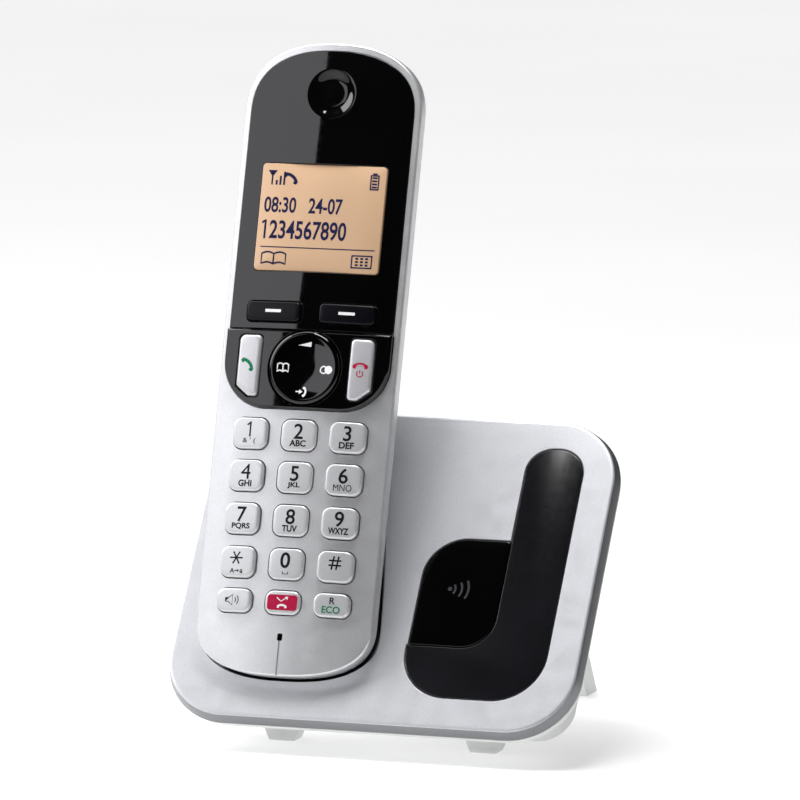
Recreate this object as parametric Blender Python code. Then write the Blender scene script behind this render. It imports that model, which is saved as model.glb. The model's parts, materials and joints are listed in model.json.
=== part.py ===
"""Cordless telephone standing in its charging base.

Lengths are in millimetres and are turned into metres as each mesh is made. The base is drawn in the
plate's own frame: x across, y up the sloping plate, z out of it, with z = 0 on the seam between its two
shells. The handset is drawn in its own frame: x across, y along its length from the mouth end, z out of
its face, with z = 0 level with the tops of the digit keys.
"""
import math

import bmesh
import bpy
from mathutils import Matrix, Vector

MM = 0.001
GAP = 0.3

# Where the two frames stand in the world
PLATE_TILT = 54.3
PLATE_SEAM_HEIGHT = 6.7
PLATE_SEAM_FRONT = -52.27
HANDSET_LEAN = 72.9
HANDSET_X = -22.5
HANDSET_UP_PLATE = 9.9
HANDSET_OFF_PLATE = 8.5

# Base plate
PLATE_WIDTH = 108.4
PLATE_LENGTH = 87.9
PLATE_CORNER = 17.5
PLATE_TOP = 3.4
PLATE_WALL = 2.2
RIM_DEPTH = 3.4
HOUSING_WIDTH = 97.0
HOUSING_LOW = 7.8
HOUSING_HIGH = 82.5
HOUSING_DEPTH = 17.5
HOUSING_CORNER = 9.0
SHELL_WALL = 1.8

# Inlay and locator button on the plate
STRIP_LEFT, STRIP_INNER, STRIP_RIGHT = 8.3, 30.0, 44.8
STRIP_LOW, STRIP_HIGH = 9.3, 79.4
BUTTON_LOW, BUTTON_HIGH = 23.0, 53.4
INLAY_DEPTH = 1.2
INLAY_GROOVE = 0.35
LOCATOR_TRAVEL = 0.8
STEM_FOOT = -4.6

# Handset
HANDSET_LENGTH = 161.0
HANDSET_HALF_WIDTH = 23.4
FACE_LEVEL = -0.7
FACE_CROWN = 1.7
PANEL_HALF_WIDTH = 21.65
CASE_SEAM = 6.9
CASE_WALL = 1.9
BAND_WIDEST = -3.6
INNER_FACE = -4.2
PANEL_FLOOR = -3.2
BAND_TAPER = 0.25
END_LOW, END_LOW_POWER = 14.0, 2.5
END_HIGH, END_HIGH_POWER = 18.0, 2.4
END_STEPS = 11

# The hull behind the seam: depth below the key tops, half width, lowest and highest place
HULL = (
    (7.2, 23.1, 0.2, 160.8),
    (9.5, 22.2, 1.5, 160.0),
    (13.0, 20.8, 4.5, 157.5),
    (17.0, 18.8, 9.5, 153.5),
    (20.5, 16.2, 15.5, 148.5),
    (23.0, 12.8, 22.0, 143.0),
    (24.6, 9.2, 28.0, 138.0),
    (25.2, 6.0, 32.0, 135.0),
)
HULL_WALL = 1.7
CRADLE_CLEARANCE = 0.9
CRADLE_WALL = 1.4

# Black panels on the face
PANEL_LOW, PANEL_SPLIT, PANEL_HIGH = 67.2, 87.3, 158.9
PANEL_BASE = -2.9
LENS_LEVEL = -0.35
NAV_LEVEL = 0.3
NAV_CROWN = 0.8
DISPLAY_SIZE = (33.2, 27.6)
DISPLAY_HEIGHT = 116.0
DISH_HEIGHT = 148.0
DISH_RADIUS = 6.9
DISH_DEPTH = 1.1
EAR_SLOT_SIZE, EAR_SLOT_HEIGHT = (4.4, 1.2, 0.55), 151.0
MOUTH_HOLE_SIZE, MOUTH_HOLE_HEIGHT = (1.3, 1.8, 0.2), 9.8
MOUTH_GROOVE_SIZE, MOUTH_GROOVE_HEIGHT = (0.5, 9.6, 0.2), 4.2
MOUTH_GROOVE_FLOOR = -1.1
WINDOW_MARGIN = 4.8

# Keys
KEY_COLUMN_PITCH = 12.9
KEY_ROWS = (60.7, 50.0, 39.1, 28.1)
FUNCTION_ROW = 18.4
KEY_SIZE = (9.3, 7.9, 2.3)
FUNCTION_KEY_SIZE = (9.3, 6.0, 2.2)
SOFT_KEY_SIZE = (14.4, 5.0, 1.2)
SOFT_KEY_PLACE = (9.75, 91.8)
CALL_KEY_X, CALL_KEY_Y = 14.85, 77.8
CALL_KEY_WIDTH, CALL_KEY_HEIGHT = 5.9, 15.5
CALL_KEY_CUT = (3.4, 2.6)
SOFT_KEY_TOP, CALL_KEY_TOP = 0.25, 0.75
NAVIGATOR_RADIUS = 9.3
NAVIGATOR_TOP = ((9.3, 0.35), (9.0, 0.75), (8.4, 0.9), (6.0, 0.55), (3.0, 0.3))
PIVOT_PROFILE = ((1.2, 0.3), (1.6, 0.45), (1.2, 0.65))
NAVIGATOR_Y = 77.7
KEY_GAP = 0.25
KEY_FLANGE = 0.7
KEY_FLANGE_TOP = INNER_FACE - GAP
KEY_FOOT = KEY_FLANGE_TOP - 0.4
MAT_TOP, MAT_BASE = -5.6, -6.6
BOARD_TOP, BOARD_BASE = -6.9, -8.1
MAT_SIZE, MAT_Y = (38.0, 81.4, 8.0), 55.0
BOARD_SIZE, BOARD_Y = (38.0, 143.0, 8.0), 80.0

# Batteries
CELL_RADIUS = 5.25
CELL_LENGTH = 44.5
CELL_X = 5.6
CELL_DEPTH = 16.6
CELL_END_RADIUS, CELL_STUD_RADIUS = 4.6, 1.9
BATTERY_CONTACT_SIZE = (19.0, 7.0, 1.5)
BAY_LOW, BAY_HIGH = 76.0, 126.0
BAY_HALF_WIDTH = 13.0
CELL_MIDDLE = 0.5 * (BAY_LOW + BAY_HIGH)

# Handset screws, ringer and microphone
SCREW_X, SCREW_Y = 14.5, 60.0
SCREW_BOSS = (3.2, -20.5, -9.0)
SCREW_SEAT = -14.0
SCREW_BORE_RADIUS, SCREW_WELL_RADIUS = 1.25, 2.2
SCREW_STEM_RADIUS, SCREW_HEAD_RADIUS, SCREW_HEAD_DEPTH = 1.0, 1.9, 1.3
RINGER_Y, RINGER_RADIUS = 134.4, 6.4
RINGER_SLOTS, RINGER_SLOT_PITCH, RINGER_SLOT_SIZE = 4, 2.6, (9.0, 1.2, 0.55)
EAR_SPEAKER_Y, EAR_SPEAKER_RADIUS = 141.5, 6.8
MICROPHONE_Y, MICROPHONE_RADIUS = 10.8, 2.4
CHARGE_CONTACT_HALVES, CHARGE_RECESS_HALVES = (2.3, 1.8), (2.6, 2.1)

# Stand and feet, in the world
FOOT_X = 26.6
LEG_OUTER_X = 28.7
LEG_THICKNESS = 4.0
LEG_GROUND_FRONT, LEG_GROUND_BACK = 97.4, 106.6
LEG_LEAN = 34.5
LEG_GAP_TOP = 36.0
STAND_STRIP_LOW, STAND_STRIP_HIGH, STAND_STRIP_THICKNESS = 60.0, 80.5, 2.5
FOOT_FRONT, FOOT_REAR = 15.0, 21.4
FOOT_HALF_WIDTH, FOOT_SOLE_HALF_WIDTH, FOOT_CHAMFER = 4.4, 3.4, 2.4

# Charging contacts, board and sockets of the base, in the plate's frame
CONTACT_X = 8.0
PIN_UP_PLATE = 27.7
PIN_TIP = -5.85
PIN_RADIUS = 1.2
BASE_BOARD_TOP, BASE_BOARD_BASE = -13.9, -15.3
SOCKET_TOP, SOCKET_MOUTH = -4.2, 82.2
LINE_SOCKET_X, LINE_SOCKET_WIDTH = 17.5, 12.6
POWER_SOCKET_X, POWER_SOCKET_WIDTH = 32.5, 9.4
LINE_MOUTH_WIDTH, LINE_MOUTH_HALF_HEIGHT = 9.8, 3.4
POWER_BARREL_RADIUS, POWER_PIN_RADIUS = 2.9, 0.8
BASE_BOARD_SIZE, BASE_BOARD_Y = (76.0, 64.0, 4.0), 45.0
ANTENNA_SIZE, ANTENNA_PLACE, ANTENNA_TOP = (30.0, 5.0, 1.0), (-24.0, 73.5), -11.0
SWITCH_SIZE = (6.0, 6.0, 0.8)
PIN_FOOT, PIN_COLLAR_RADIUS, PIN_COLLAR = -12.6, 1.9, (-9.6, -9.0)
BASE_SCREWS = ((-40.5, 73.0), (40.5, 17.0))
BASE_SCREW_PROFILE = ((2.3, -18.4), (2.3, -17.8), (0.9, -17.8), (0.9, -4.0))
BOSS_DEPTH, BOSS_RADIUS, BOSS_BORE_RADIUS = -9.0, 2.8, 1.15


# ---------------------------------------------------------------- scene and materials

def clear_scene():
    for thing in list(bpy.data.objects):
        bpy.data.objects.remove(thing, do_unlink=True)


def make_material(name, colour, roughness, metallic=0.0):
    made = bpy.data.materials.new(name)
    made.use_nodes = True
    shader = made.node_tree.nodes["Principled BSDF"]
    shader.inputs["Base Color"].default_value = (*colour, 1.0)
    shader.inputs["Roughness"].default_value = roughness
    shader.inputs["Metallic"].default_value = metallic
    return made


def make_materials():
    return {
        "silver": make_material("silver_paint", (0.66, 0.67, 0.69), 0.34, 0.55),
        "silver_key": make_material("silver_key", (0.72, 0.73, 0.75), 0.38, 0.35),
        "black_gloss": make_material("black_gloss", (0.008, 0.008, 0.01), 0.08),
        "slate_gloss": make_material("slate_gloss", (0.022, 0.022, 0.028), 0.12),
        "light_shell": make_material("light_shell", (0.78, 0.79, 0.79), 0.45),
        "dark_liner": make_material("dark_liner", (0.05, 0.05, 0.055), 0.5),
        "display": make_material("display_amber", (0.85, 0.58, 0.33), 0.35),
        "rubber": make_material("rubber", (0.12, 0.12, 0.12), 0.8),
        "board": make_material("circuit_board", (0.03, 0.19, 0.08), 0.5),
        "steel": make_material("steel", (0.55, 0.55, 0.56), 0.3, 1.0),
        "contact": make_material("plated_contact", (0.8, 0.66, 0.36), 0.25, 1.0),
        "cell": make_material("cell_sleeve", (0.16, 0.36, 0.2), 0.35),
        "component": make_material("component_black", (0.03, 0.03, 0.03), 0.45),
    }


# ---------------------------------------------------------------- outlines

def rounded_polygon(corners, steps=6):
    """Corners (x, y, radius), anticlockwise; each becomes an arc, or a bend the other way if hollow."""
    points = []
    count = len(corners)
    for index, (x, y, radius) in enumerate(corners):
        here = Vector((x, y))
        back = (Vector(corners[index - 1][:2]) - here).normalized()
        ahead = (Vector(corners[(index + 1) % count][:2]) - here).normalized()
        if radius <= 0.0:
            points.append(here)
            continue
        half = 0.5 * back.angle(ahead)
        reach = radius / math.tan(half)
        centre = here + (back + ahead).normalized() * (radius / math.sin(half))
        start = here + back * reach - centre
        end = here + ahead * reach - centre
        turn = math.atan2(start.x * end.y - start.y * end.x, start.dot(end))
        for step in range(steps + 1):
            angle = turn * step / steps
            points.append(centre + Matrix.Rotation(angle, 2) @ start)
    return [(point.x, point.y) for point in points]


def rounded_box(width, height, radius, centre=(0.0, 0.0), steps=3):
    x, y = 0.5 * width, 0.5 * height
    corners = [(-x, -y), (x, -y), (x, y), (-x, y)]
    return rounded_polygon([(centre[0] + a, centre[1] + b, radius) for a, b in corners], steps)


def circle(radius, centre=(0.0, 0.0), steps=32):
    turns = [2.0 * math.pi * step / steps for step in range(steps)]
    return [(centre[0] + radius * math.cos(t), centre[1] + radius * math.sin(t)) for t in turns]


def long_outline(half_width, low, high, end_low, end_high):
    """A long shape whose two ends are halves of superellipses, anticlockwise from its lower left."""
    points = []
    for side, tip, reach, power in ((-1, low, end_low, END_LOW_POWER), (1, high, -end_high, END_HIGH_POWER)):
        for step in range(END_STEPS + 1):
            angle = math.pi * step / END_STEPS
            across, along = math.cos(angle), math.sin(angle)
            x = side * half_width * math.copysign(abs(across) ** (2.0 / power), across)
            points.append((x, tip + reach * (1.0 - abs(along) ** (2.0 / power))))
    return points


def case_outline(inset):
    return long_outline(HANDSET_HALF_WIDTH - inset, inset, HANDSET_LENGTH - inset,
                        END_LOW - inset, END_HIGH - inset)


def hull_outline(station, offset=0.0):
    """The hull's outline at one station, its round ends in proportion to its width."""
    _, half_width, low, high = station
    share = (half_width + offset) / HANDSET_HALF_WIDTH
    return long_outline(half_width + offset, low - offset, high + offset, END_LOW * share, END_HIGH * share)


def scaled(points, factor_x, factor_y, centre=(0.0, 0.0)):
    return [(centre[0] + (x - centre[0]) * factor_x, centre[1] + (y - centre[1]) * factor_y)
            for x, y in points]


# ---------------------------------------------------------------- solids

def ring(points, level):
    """Points at one level, which is a number or a function of x and y."""
    if callable(level):
        return [(x, y, level(x, y)) for x, y in points]
    return [(x, y, level) for x, y in points]


def solid_mesh(name, rings, hollow=None):
    """A closed skin through a stack of rings; with hollow, a cup whose mouth is at each first ring."""
    mesh = bmesh.new()

    def skin(stack):
        loops = [[mesh.verts.new([c * MM for c in point]) for point in loop] for loop in stack]
        for lower, upper in zip(loops, loops[1:]):
            for index in range(len(lower)):
                after = (index + 1) % len(lower)
                mesh.faces.new((lower[index], lower[after], upper[after], upper[index]))
        mesh.faces.new(loops[-1])
        return loops

    outside = skin(rings)
    if hollow is None:
        mesh.faces.new(outside[0])
    else:
        inside = skin(hollow)
        for index in range(len(rings[0])):
            after = (index + 1) % len(rings[0])
            mesh.faces.new((outside[0][index], outside[0][after], inside[0][after], inside[0][index]))
    bmesh.ops.recalc_face_normals(mesh, faces=mesh.faces)
    bmesh.ops.triangulate(mesh, faces=mesh.faces)
    data = bpy.data.meshes.new(name)
    mesh.to_mesh(data)
    mesh.free()
    return data


def place(name, data, material, frame, at=(0.0, 0.0, 0.0), smooth=None):
    thing = bpy.data.objects.new(name, data)
    bpy.context.scene.collection.objects.link(thing)
    if frame is not None:
        thing.parent = frame
    thing.location = [c * MM for c in at]
    if material is not None and not data.materials:
        data.materials.append(material)
    if smooth is not None:
        data.shade_smooth()
        data.set_sharp_from_angle(angle=math.radians(smooth))
    return thing


def build(name, rings, material, frame, at=(0.0, 0.0, 0.0), hollow=None, smooth=35):
    return place(name, solid_mesh(name, rings, hollow), material, frame, at, smooth)


def prism(name, outline, low, high, material, frame, at=(0.0, 0.0, 0.0)):
    return build(name, [ring(outline, low), ring(outline, high)], material, frame, at)


def cutter(name, solids, frame, hollow=None):
    """One hidden helper made of several separate solids, each a stack of rings."""
    joined = bmesh.new()
    for index, rings in enumerate(solids):
        data = solid_mesh(f"{name}_{index}", rings, hollow)
        joined.from_mesh(data)
        bpy.data.meshes.remove(data)
    data = bpy.data.meshes.new(name)
    joined.to_mesh(data)
    joined.free()
    thing = place(name, data, None, frame)
    thing.hide_render = True
    thing.display_type = "WIRE"
    return thing


def boolean(thing, tool, operation="DIFFERENCE"):
    step = thing.modifiers.new(f"{operation.lower()}_{tool.name}", "BOOLEAN")
    step.operation = operation
    step.solver = "EXACT"
    step.object = tool


def stack(outline, low, high):
    return [ring(outline, low), ring(outline, high)]


def rod_y(centre_x, centre_z, profile, steps=20):
    """A turned shape along y, from a profile of (y, radius)."""
    turns = [2.0 * math.pi * step / steps for step in range(steps)]
    return [[(centre_x + radius * math.cos(t), y, centre_z + radius * math.sin(t)) for t in turns]
            for y, radius in profile]


def frame_empty(name, place_mm, tilt):
    empty = bpy.data.objects.new(name, None)
    bpy.context.scene.collection.objects.link(empty)
    empty.location = [c * MM for c in place_mm]
    empty.rotation_euler = (math.radians(tilt), 0.0, 0.0)
    return empty


def make_frames():
    seam = Vector((0.0, PLATE_SEAM_FRONT, PLATE_SEAM_HEIGHT))
    turn = Matrix.Rotation(math.radians(PLATE_TILT), 3, "X")
    mouth = seam + turn @ Vector((HANDSET_X, HANDSET_UP_PLATE, HANDSET_OFF_PLATE))
    return frame_empty("plate_frame", seam, PLATE_TILT), frame_empty("handset_frame", mouth, HANDSET_LEAN)


def to_plate(point):
    """A point of the handset's frame, in the plate's frame."""
    turn = Matrix.Rotation(math.radians(HANDSET_LEAN - PLATE_TILT), 3, "X")
    return turn @ Vector(point) + Vector((HANDSET_X, HANDSET_UP_PLATE, HANDSET_OFF_PLATE))


# ---------------------------------------------------------------- handset casings

def face_level(x, _y):
    return FACE_LEVEL - FACE_CROWN * (x / PANEL_HALF_WIDTH) ** 2


def lens_level(x, _y):
    return LENS_LEVEL - FACE_CROWN * (x / PANEL_HALF_WIDTH) ** 2


def nav_level(x, _y):
    return NAV_LEVEL - NAV_CROWN * (x / PANEL_HALF_WIDTH) ** 2


def sunk(level, drop):
    return lambda x, y: level(x, y) - drop


def lens_outline(inset=0.0):
    """The display panel: level at the split, and following the case round the ear end."""
    half, top = PANEL_HALF_WIDTH - inset, PANEL_HIGH - inset
    low = PANEL_SPLIT + 0.5 * GAP + inset
    upper = long_outline(half, low, top, END_LOW, END_HIGH - 2.0)[END_STEPS + 1:]
    return [(-half, low), (half, low)] + upper


def nav_outline(inset=0.0):
    half = PANEL_HALF_WIDTH + 0.2 - inset
    low, high = PANEL_LOW + inset, PANEL_SPLIT - 0.5 * GAP - inset
    round_low = 12.0 - inset
    return rounded_polygon([(-half, low, round_low), (half, low, round_low), (half, high, 0.0),
                            (-half, high, 0.0)], 8)


def key_places():
    """Each digit and function key's name and place on the face."""
    names = (("key_1", "key_2", "key_3"), ("key_4", "key_5", "key_6"), ("key_7", "key_8", "key_9"),
             ("key_star", "key_0", "key_hash"))
    places = {}
    for row, row_names in zip(KEY_ROWS, names):
        for column, name in zip((-1, 0, 1), row_names):
            places[name] = (column * KEY_COLUMN_PITCH, row, KEY_SIZE)
    for column, name in zip((-1, 0, 1), ("key_speaker", "key_block", "key_recall")):
        places[name] = (column * KEY_COLUMN_PITCH, FUNCTION_ROW, FUNCTION_KEY_SIZE)
    return places


def call_key_outline(side, grow=0.0):
    """The call keys' upright shape, with its lower outer corner cut along the panel's curve."""
    x, y = 0.5 * CALL_KEY_WIDTH + grow, 0.5 * CALL_KEY_HEIGHT + grow
    cut_x, cut_y = CALL_KEY_CUT
    corners = [(-x, -y, 0.8), (x - cut_x, -y, 0.6), (x, -y + cut_y, 0.8), (x, y, 1.4), (-x, y, 1.0)]
    if side < 0:
        corners = [(-a, b, r) for a, b, r in reversed(corners)]
    return rounded_polygon(corners, 3)


def key_hole_outlines():
    """Outlines of the holes that the keys pass through, with their running gap."""
    holes = []
    for x, y, (width, height, radius) in key_places().values():
        holes.append(rounded_box(width + 2 * KEY_GAP, height + 2 * KEY_GAP, radius + KEY_GAP, (x, y)))
    return holes


def soft_hole_outlines():
    width, height, radius = (size + 2 * KEY_GAP for size in SOFT_KEY_SIZE)
    x, y = SOFT_KEY_PLACE
    return [rounded_box(width, height, radius - KEY_GAP, (side * x, y)) for side in (-1, 1)]


def nav_hole_outlines():
    holes = [circle(NAVIGATOR_RADIUS + 0.35, (0.0, NAVIGATOR_Y), 36)]
    for side in (-1, 1):
        outline = call_key_outline(side, KEY_GAP)
        holes.append([(x + side * CALL_KEY_X, y + CALL_KEY_Y) for x, y in outline])
    return holes


def display_hole(grow):
    return rounded_box(DISPLAY_SIZE[0] + grow, DISPLAY_SIZE[1] + grow, 1.0, (0.0, DISPLAY_HEIGHT))


def ear_slot():
    return rounded_box(*EAR_SLOT_SIZE, (0.0, EAR_SLOT_HEIGHT), 2)


def make_front_case(frame, finish):
    outer = [ring(case_outline(BAND_TAPER), -CASE_SEAM), ring(case_outline(0.0), BAND_WIDEST)]
    outer += [ring(case_outline(inset), sunk(face_level, drop))
              for inset, drop in ((0.3, 0.35), (1.2, 0.0), (6.0, 0.0), (12.0, 0.0), (18.0, 0.0))]
    inner = [ring(case_outline(CASE_WALL), level) for level in (-CASE_SEAM, INNER_FACE)]
    case = build("front_case", outer, finish["silver"], frame, hollow=inner)
    deep = INNER_FACE - 1.0
    recess = cutter("panel_recess", [stack(lens_outline(-0.15), PANEL_FLOOR, 2.0)], frame)
    nav_recess = cutter("nav_recess", [stack(nav_outline(-0.15), PANEL_FLOOR, 2.0)], frame)
    holes = key_hole_outlines() + soft_hole_outlines() + nav_hole_outlines()
    holes += [display_hole(WINDOW_MARGIN), ear_slot()]
    holes.append(rounded_box(*MOUTH_HOLE_SIZE, (0.0, MOUTH_HOLE_HEIGHT), 2))
    openings = cutter("face_openings", [stack(outline, deep, 2.0) for outline in holes], frame)
    groove_outline = rounded_box(*MOUTH_GROOVE_SIZE, (0.0, MOUTH_GROOVE_HEIGHT), 2)
    groove = cutter("mouth_groove", [stack(groove_outline, MOUTH_GROOVE_FLOOR, 2.0)], frame)
    for tool in (recess, nav_recess, openings, groove):
        boolean(case, tool)


def make_panels(frame, finish):
    lens_rings = [ring(lens_outline(), PANEL_BASE), ring(lens_outline(), sunk(lens_level, 0.25)),
                  ring(lens_outline(0.3), lens_level)]
    centre = (0.0, 0.5 * (PANEL_SPLIT + PANEL_HIGH))
    lens_rings += [ring(scaled(lens_outline(0.3), f, 1.0 - 0.35 * (1.0 - f), centre), lens_level)
                   for f in (0.75, 0.5, 0.25)]
    lens = build("display_lens", lens_rings, finish["black_gloss"], frame)
    holes = [display_hole(0.0), ear_slot()] + soft_hole_outlines()
    windows = cutter("lens_openings", [stack(outline, -5.0, 3.0) for outline in holes], frame)
    dish = cutter("ear_dish", [dish_rings()], frame)
    boolean(lens, dish)
    boolean(lens, windows)
    nav_rings = [ring(nav_outline(), PANEL_BASE), ring(nav_outline(), sunk(nav_level, 0.7)),
                 ring(nav_outline(0.6), nav_level)]
    nav_centre = (0.0, 0.5 * (PANEL_LOW + PANEL_SPLIT))
    nav_rings += [ring(scaled(nav_outline(0.6), f, 1.0 - 0.35 * (1.0 - f), nav_centre), nav_level)
                  for f in (0.7, 0.4)]
    nav = build("nav_panel", nav_rings, finish["black_gloss"], frame)
    boolean(nav, cutter("nav_openings", [stack(outline, -5.0, 3.0) for outline in nav_hole_outlines()],
                        frame))


def dish_rings():
    """A shallow bowl: its depth falls off with the square of the distance from its middle."""
    rings = [ring(circle(DISH_RADIUS + 0.6, (0.0, DISH_HEIGHT), 28), 3.0),
             ring(circle(DISH_RADIUS + 0.6, (0.0, DISH_HEIGHT), 28), LENS_LEVEL + 0.18)]
    for share in (0.85, 0.6, 0.3):
        level = LENS_LEVEL - DISH_DEPTH * (1.0 - share ** 2)
        rings.append(ring(circle(DISH_RADIUS * share, (0.0, DISH_HEIGHT), 28), level))
    return rings[::-1]


def hull_rings(offset=0.0, deeper=0.0):
    return [ring(hull_outline(station, offset), -(station[0] + deeper)) for station in HULL]


def cover_prism(name, shrink, frame):
    size = (2 * BAY_HALF_WIDTH - shrink, BAY_HIGH - BAY_LOW - shrink)
    return cutter(name, [stack(rounded_box(*size, 2.0, (0.0, CELL_MIDDLE)), -30.0, -14.0)], frame)


def make_rear_case(frame, finish):
    inner = hull_rings(-HULL_WALL, -HULL_WALL)
    inner[0] = ring(hull_outline(HULL[0], -HULL_WALL), -HULL[0][0])
    case = build("rear_case", hull_rings(), finish["silver"], frame, hollow=inner)
    radius, low, high = SCREW_BOSS
    bosses = [stack(circle(radius, (side * SCREW_X, SCREW_Y), 16), low, high) for side in (-1, 1)]
    boolean(case, cutter("screw_bosses", bosses, frame), "UNION")
    boolean(case, cover_prism("bay_opening", 0.0, frame))
    steps = ((SCREW_WELL_RADIUS, -30.0), (SCREW_WELL_RADIUS, SCREW_SEAT), (SCREW_BORE_RADIUS, SCREW_SEAT),
             (SCREW_BORE_RADIUS, high + 1.0))
    wells = [[ring(circle(radius, (side * SCREW_X, SCREW_Y), 16), level) for radius, level in steps]
             for side in (-1, 1)]
    boolean(case, cutter("screw_wells", wells, frame))
    first = RINGER_Y - 0.5 * RINGER_SLOT_PITCH * (RINGER_SLOTS - 1)
    slots = [stack(rounded_box(*RINGER_SLOT_SIZE, (0.0, first + RINGER_SLOT_PITCH * row), 1), -30.0, -20.0)
             for row in range(RINGER_SLOTS)]
    boolean(case, cutter("ringer_slots", slots, frame))
    boolean(case, charge_contact_cutter(frame))
    cover = build("battery_cover", hull_rings(), finish["silver"], frame, hollow=inner)
    boolean(cover, cover_prism("cover_outline", 2 * GAP, frame), "INTERSECT")
    head = SCREW_SEAT - GAP
    screw = ((SCREW_STEM_RADIUS, high - 0.6), (SCREW_STEM_RADIUS, head), (SCREW_HEAD_RADIUS, head),
             (SCREW_HEAD_RADIUS, head - SCREW_HEAD_DEPTH))
    for side, word in ((-1, "left"), (1, "right")):
        rings = [ring(circle(radius, steps=12), level) for radius, level in screw]
        build(f"handset_screw_{word}", rings, finish["steel"], frame, (side * SCREW_X, SCREW_Y, 0.0))


def hull_slope_frame():
    """Middle, along and outward directions of the flat strip of hull under the charge contacts."""
    lower = Vector((0.0, HULL[3][2], -HULL[3][0]))
    upper = Vector((0.0, HULL[4][2], -HULL[4][0]))
    along = (upper - lower).normalized()
    outward = Vector((0.0, along.z, -along.y))
    return 0.5 * (lower + upper), along, outward


def contact_block(x, half_width, half_length, low, high):
    middle, along, outward = hull_slope_frame()
    rings = []
    for level in (low, high):
        corners = [(-1, -1), (1, -1), (1, 1), (-1, 1)]
        rings.append([tuple(middle + Vector((x + a * half_width, 0.0, 0.0)) + along * (b * half_length)
                            + outward * level) for a, b in corners])
    return rings


def charge_contact_cutter(frame):
    blocks = [contact_block(side * CONTACT_X, *CHARGE_RECESS_HALVES, -0.9, 3.0) for side in (-1, 1)]
    return cutter("contact_recesses", blocks, frame)


# ---------------------------------------------------------------- handset keys and innards

def key_rings(outline_at, top, flange=KEY_FLANGE):
    """A key: soft top edge, straight sides through the face, and a flange that holds it in."""
    levels = [(0.75, top), (0.25, top - 0.12), (0.0, top - 0.5), (0.0, KEY_FLANGE_TOP),
              (-flange, KEY_FLANGE_TOP), (-flange, KEY_FOOT)]
    return [ring(outline_at(inset), level) for inset, level in levels][::-1]


def box_outline(size):
    width, height, radius = size
    return lambda inset: rounded_box(width - 2 * inset, height - 2 * inset, max(radius - inset, 0.3))


def make_keys(frame, finish):
    digit = solid_mesh("digit_key", key_rings(box_outline(KEY_SIZE), 0.0))
    function = solid_mesh("function_key", key_rings(box_outline(FUNCTION_KEY_SIZE), 0.0))
    for name, (x, y, size) in key_places().items():
        data = digit if size is KEY_SIZE else function
        place(name, data, finish["silver_key"], frame, (x, y, 0.0), 35)
    soft = solid_mesh("soft_key", key_rings(box_outline(SOFT_KEY_SIZE), SOFT_KEY_TOP))
    x, y = SOFT_KEY_PLACE
    for side, word in ((-1, "left"), (1, "right")):
        place(f"soft_key_{word}", soft, finish["slate_gloss"], frame, (side * x, y, 0.0), 35)
    for side, name in ((-1, "key_talk"), (1, "key_off")):
        rings = key_rings(lambda inset, side=side: call_key_outline(side, -inset), CALL_KEY_TOP)
        build(name, rings, finish["silver_key"], frame, (side * CALL_KEY_X, CALL_KEY_Y, 0.0))


def make_navigator(frame, finish):
    """A round four-way key with a hollow top, on a small ball that lets it rock both ways."""
    profile = ((NAVIGATOR_RADIUS, KEY_FOOT + 0.3),) + NAVIGATOR_TOP
    rings = [ring(circle(radius, steps=36), level) for radius, level in profile]
    build("navigator", rings, finish["black_gloss"], frame, (0.0, NAVIGATOR_Y, 0.0))
    pivot = [ring(circle(radius, steps=12), MAT_TOP + height) for radius, height in PIVOT_PROFILE]
    build("navigator_pivot", pivot, finish["component"], frame, (0.0, NAVIGATOR_Y, 0.0))


def make_handset_innards(frame, finish):
    prism("keypad_mat", rounded_box(*MAT_SIZE, (0.0, MAT_Y)), MAT_BASE, MAT_TOP, finish["rubber"], frame)
    prism("handset_board", rounded_box(*BOARD_SIZE, (0.0, BOARD_Y)), BOARD_BASE, BOARD_TOP,
          finish["board"], frame)
    glass, module = display_hole(-0.3), display_hole(4.0)
    build("display_module", [ring(module, MAT_BASE), ring(module, PANEL_FLOOR - 0.1),
                             ring(glass, PANEL_FLOOR - 0.1), ring(glass, LENS_LEVEL - 0.45)],
          finish["display"], frame)
    ear = ((EAR_SPEAKER_RADIUS, MAT_BASE), (EAR_SPEAKER_RADIUS, -4.9), (5.6, -4.6))
    ringer = ((RINGER_RADIUS, -20.6), (RINGER_RADIUS, -18.0), (4.0, -15.5))
    for name, profile, y in (("ear_speaker", ear, EAR_SPEAKER_Y), ("ringer_speaker", ringer, RINGER_Y)):
        rings = [ring(circle(radius, steps=24), level) for radius, level in profile]
        build(name, rings, finish["component"], frame, (0.0, y, 0.0))
    prism("microphone", circle(MICROPHONE_RADIUS, (0.0, MICROPHONE_Y), 20), MAT_BASE, -4.6,
          finish["component"], frame)
    for side, word in ((-1, "left"), (1, "right")):
        low, high = CELL_MIDDLE - 0.5 * CELL_LENGTH, CELL_MIDDLE + 0.5 * CELL_LENGTH
        ends = ((low, CELL_END_RADIUS), (low + 0.6, CELL_RADIUS), (high - 1.6, CELL_RADIUS),
                (high - 1.0, CELL_END_RADIUS), (high - 0.9, CELL_STUD_RADIUS), (high, CELL_STUD_RADIUS))
        rings = rod_y(side * CELL_X, -CELL_DEPTH, ends)
        build(f"battery_cell_{word}", rings, finish["cell"], frame)
        block = contact_block(side * CONTACT_X, *CHARGE_CONTACT_HALVES, -0.6, 0.15)
        build(f"charge_contact_{word}", block, finish["contact"], frame)
    for end, word in ((-1, "lower"), (1, "upper")):
        middle = CELL_MIDDLE + end * (0.5 * CELL_LENGTH + 0.7)
        rings = [[(x, middle + 0.25 * step, z - CELL_DEPTH) for x, z in rounded_box(*BATTERY_CONTACT_SIZE)]
                 for step in (-1, 1)]
        build(f"battery_contact_{word}", rings, finish["contact"], frame)


# ---------------------------------------------------------------- base

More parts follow.
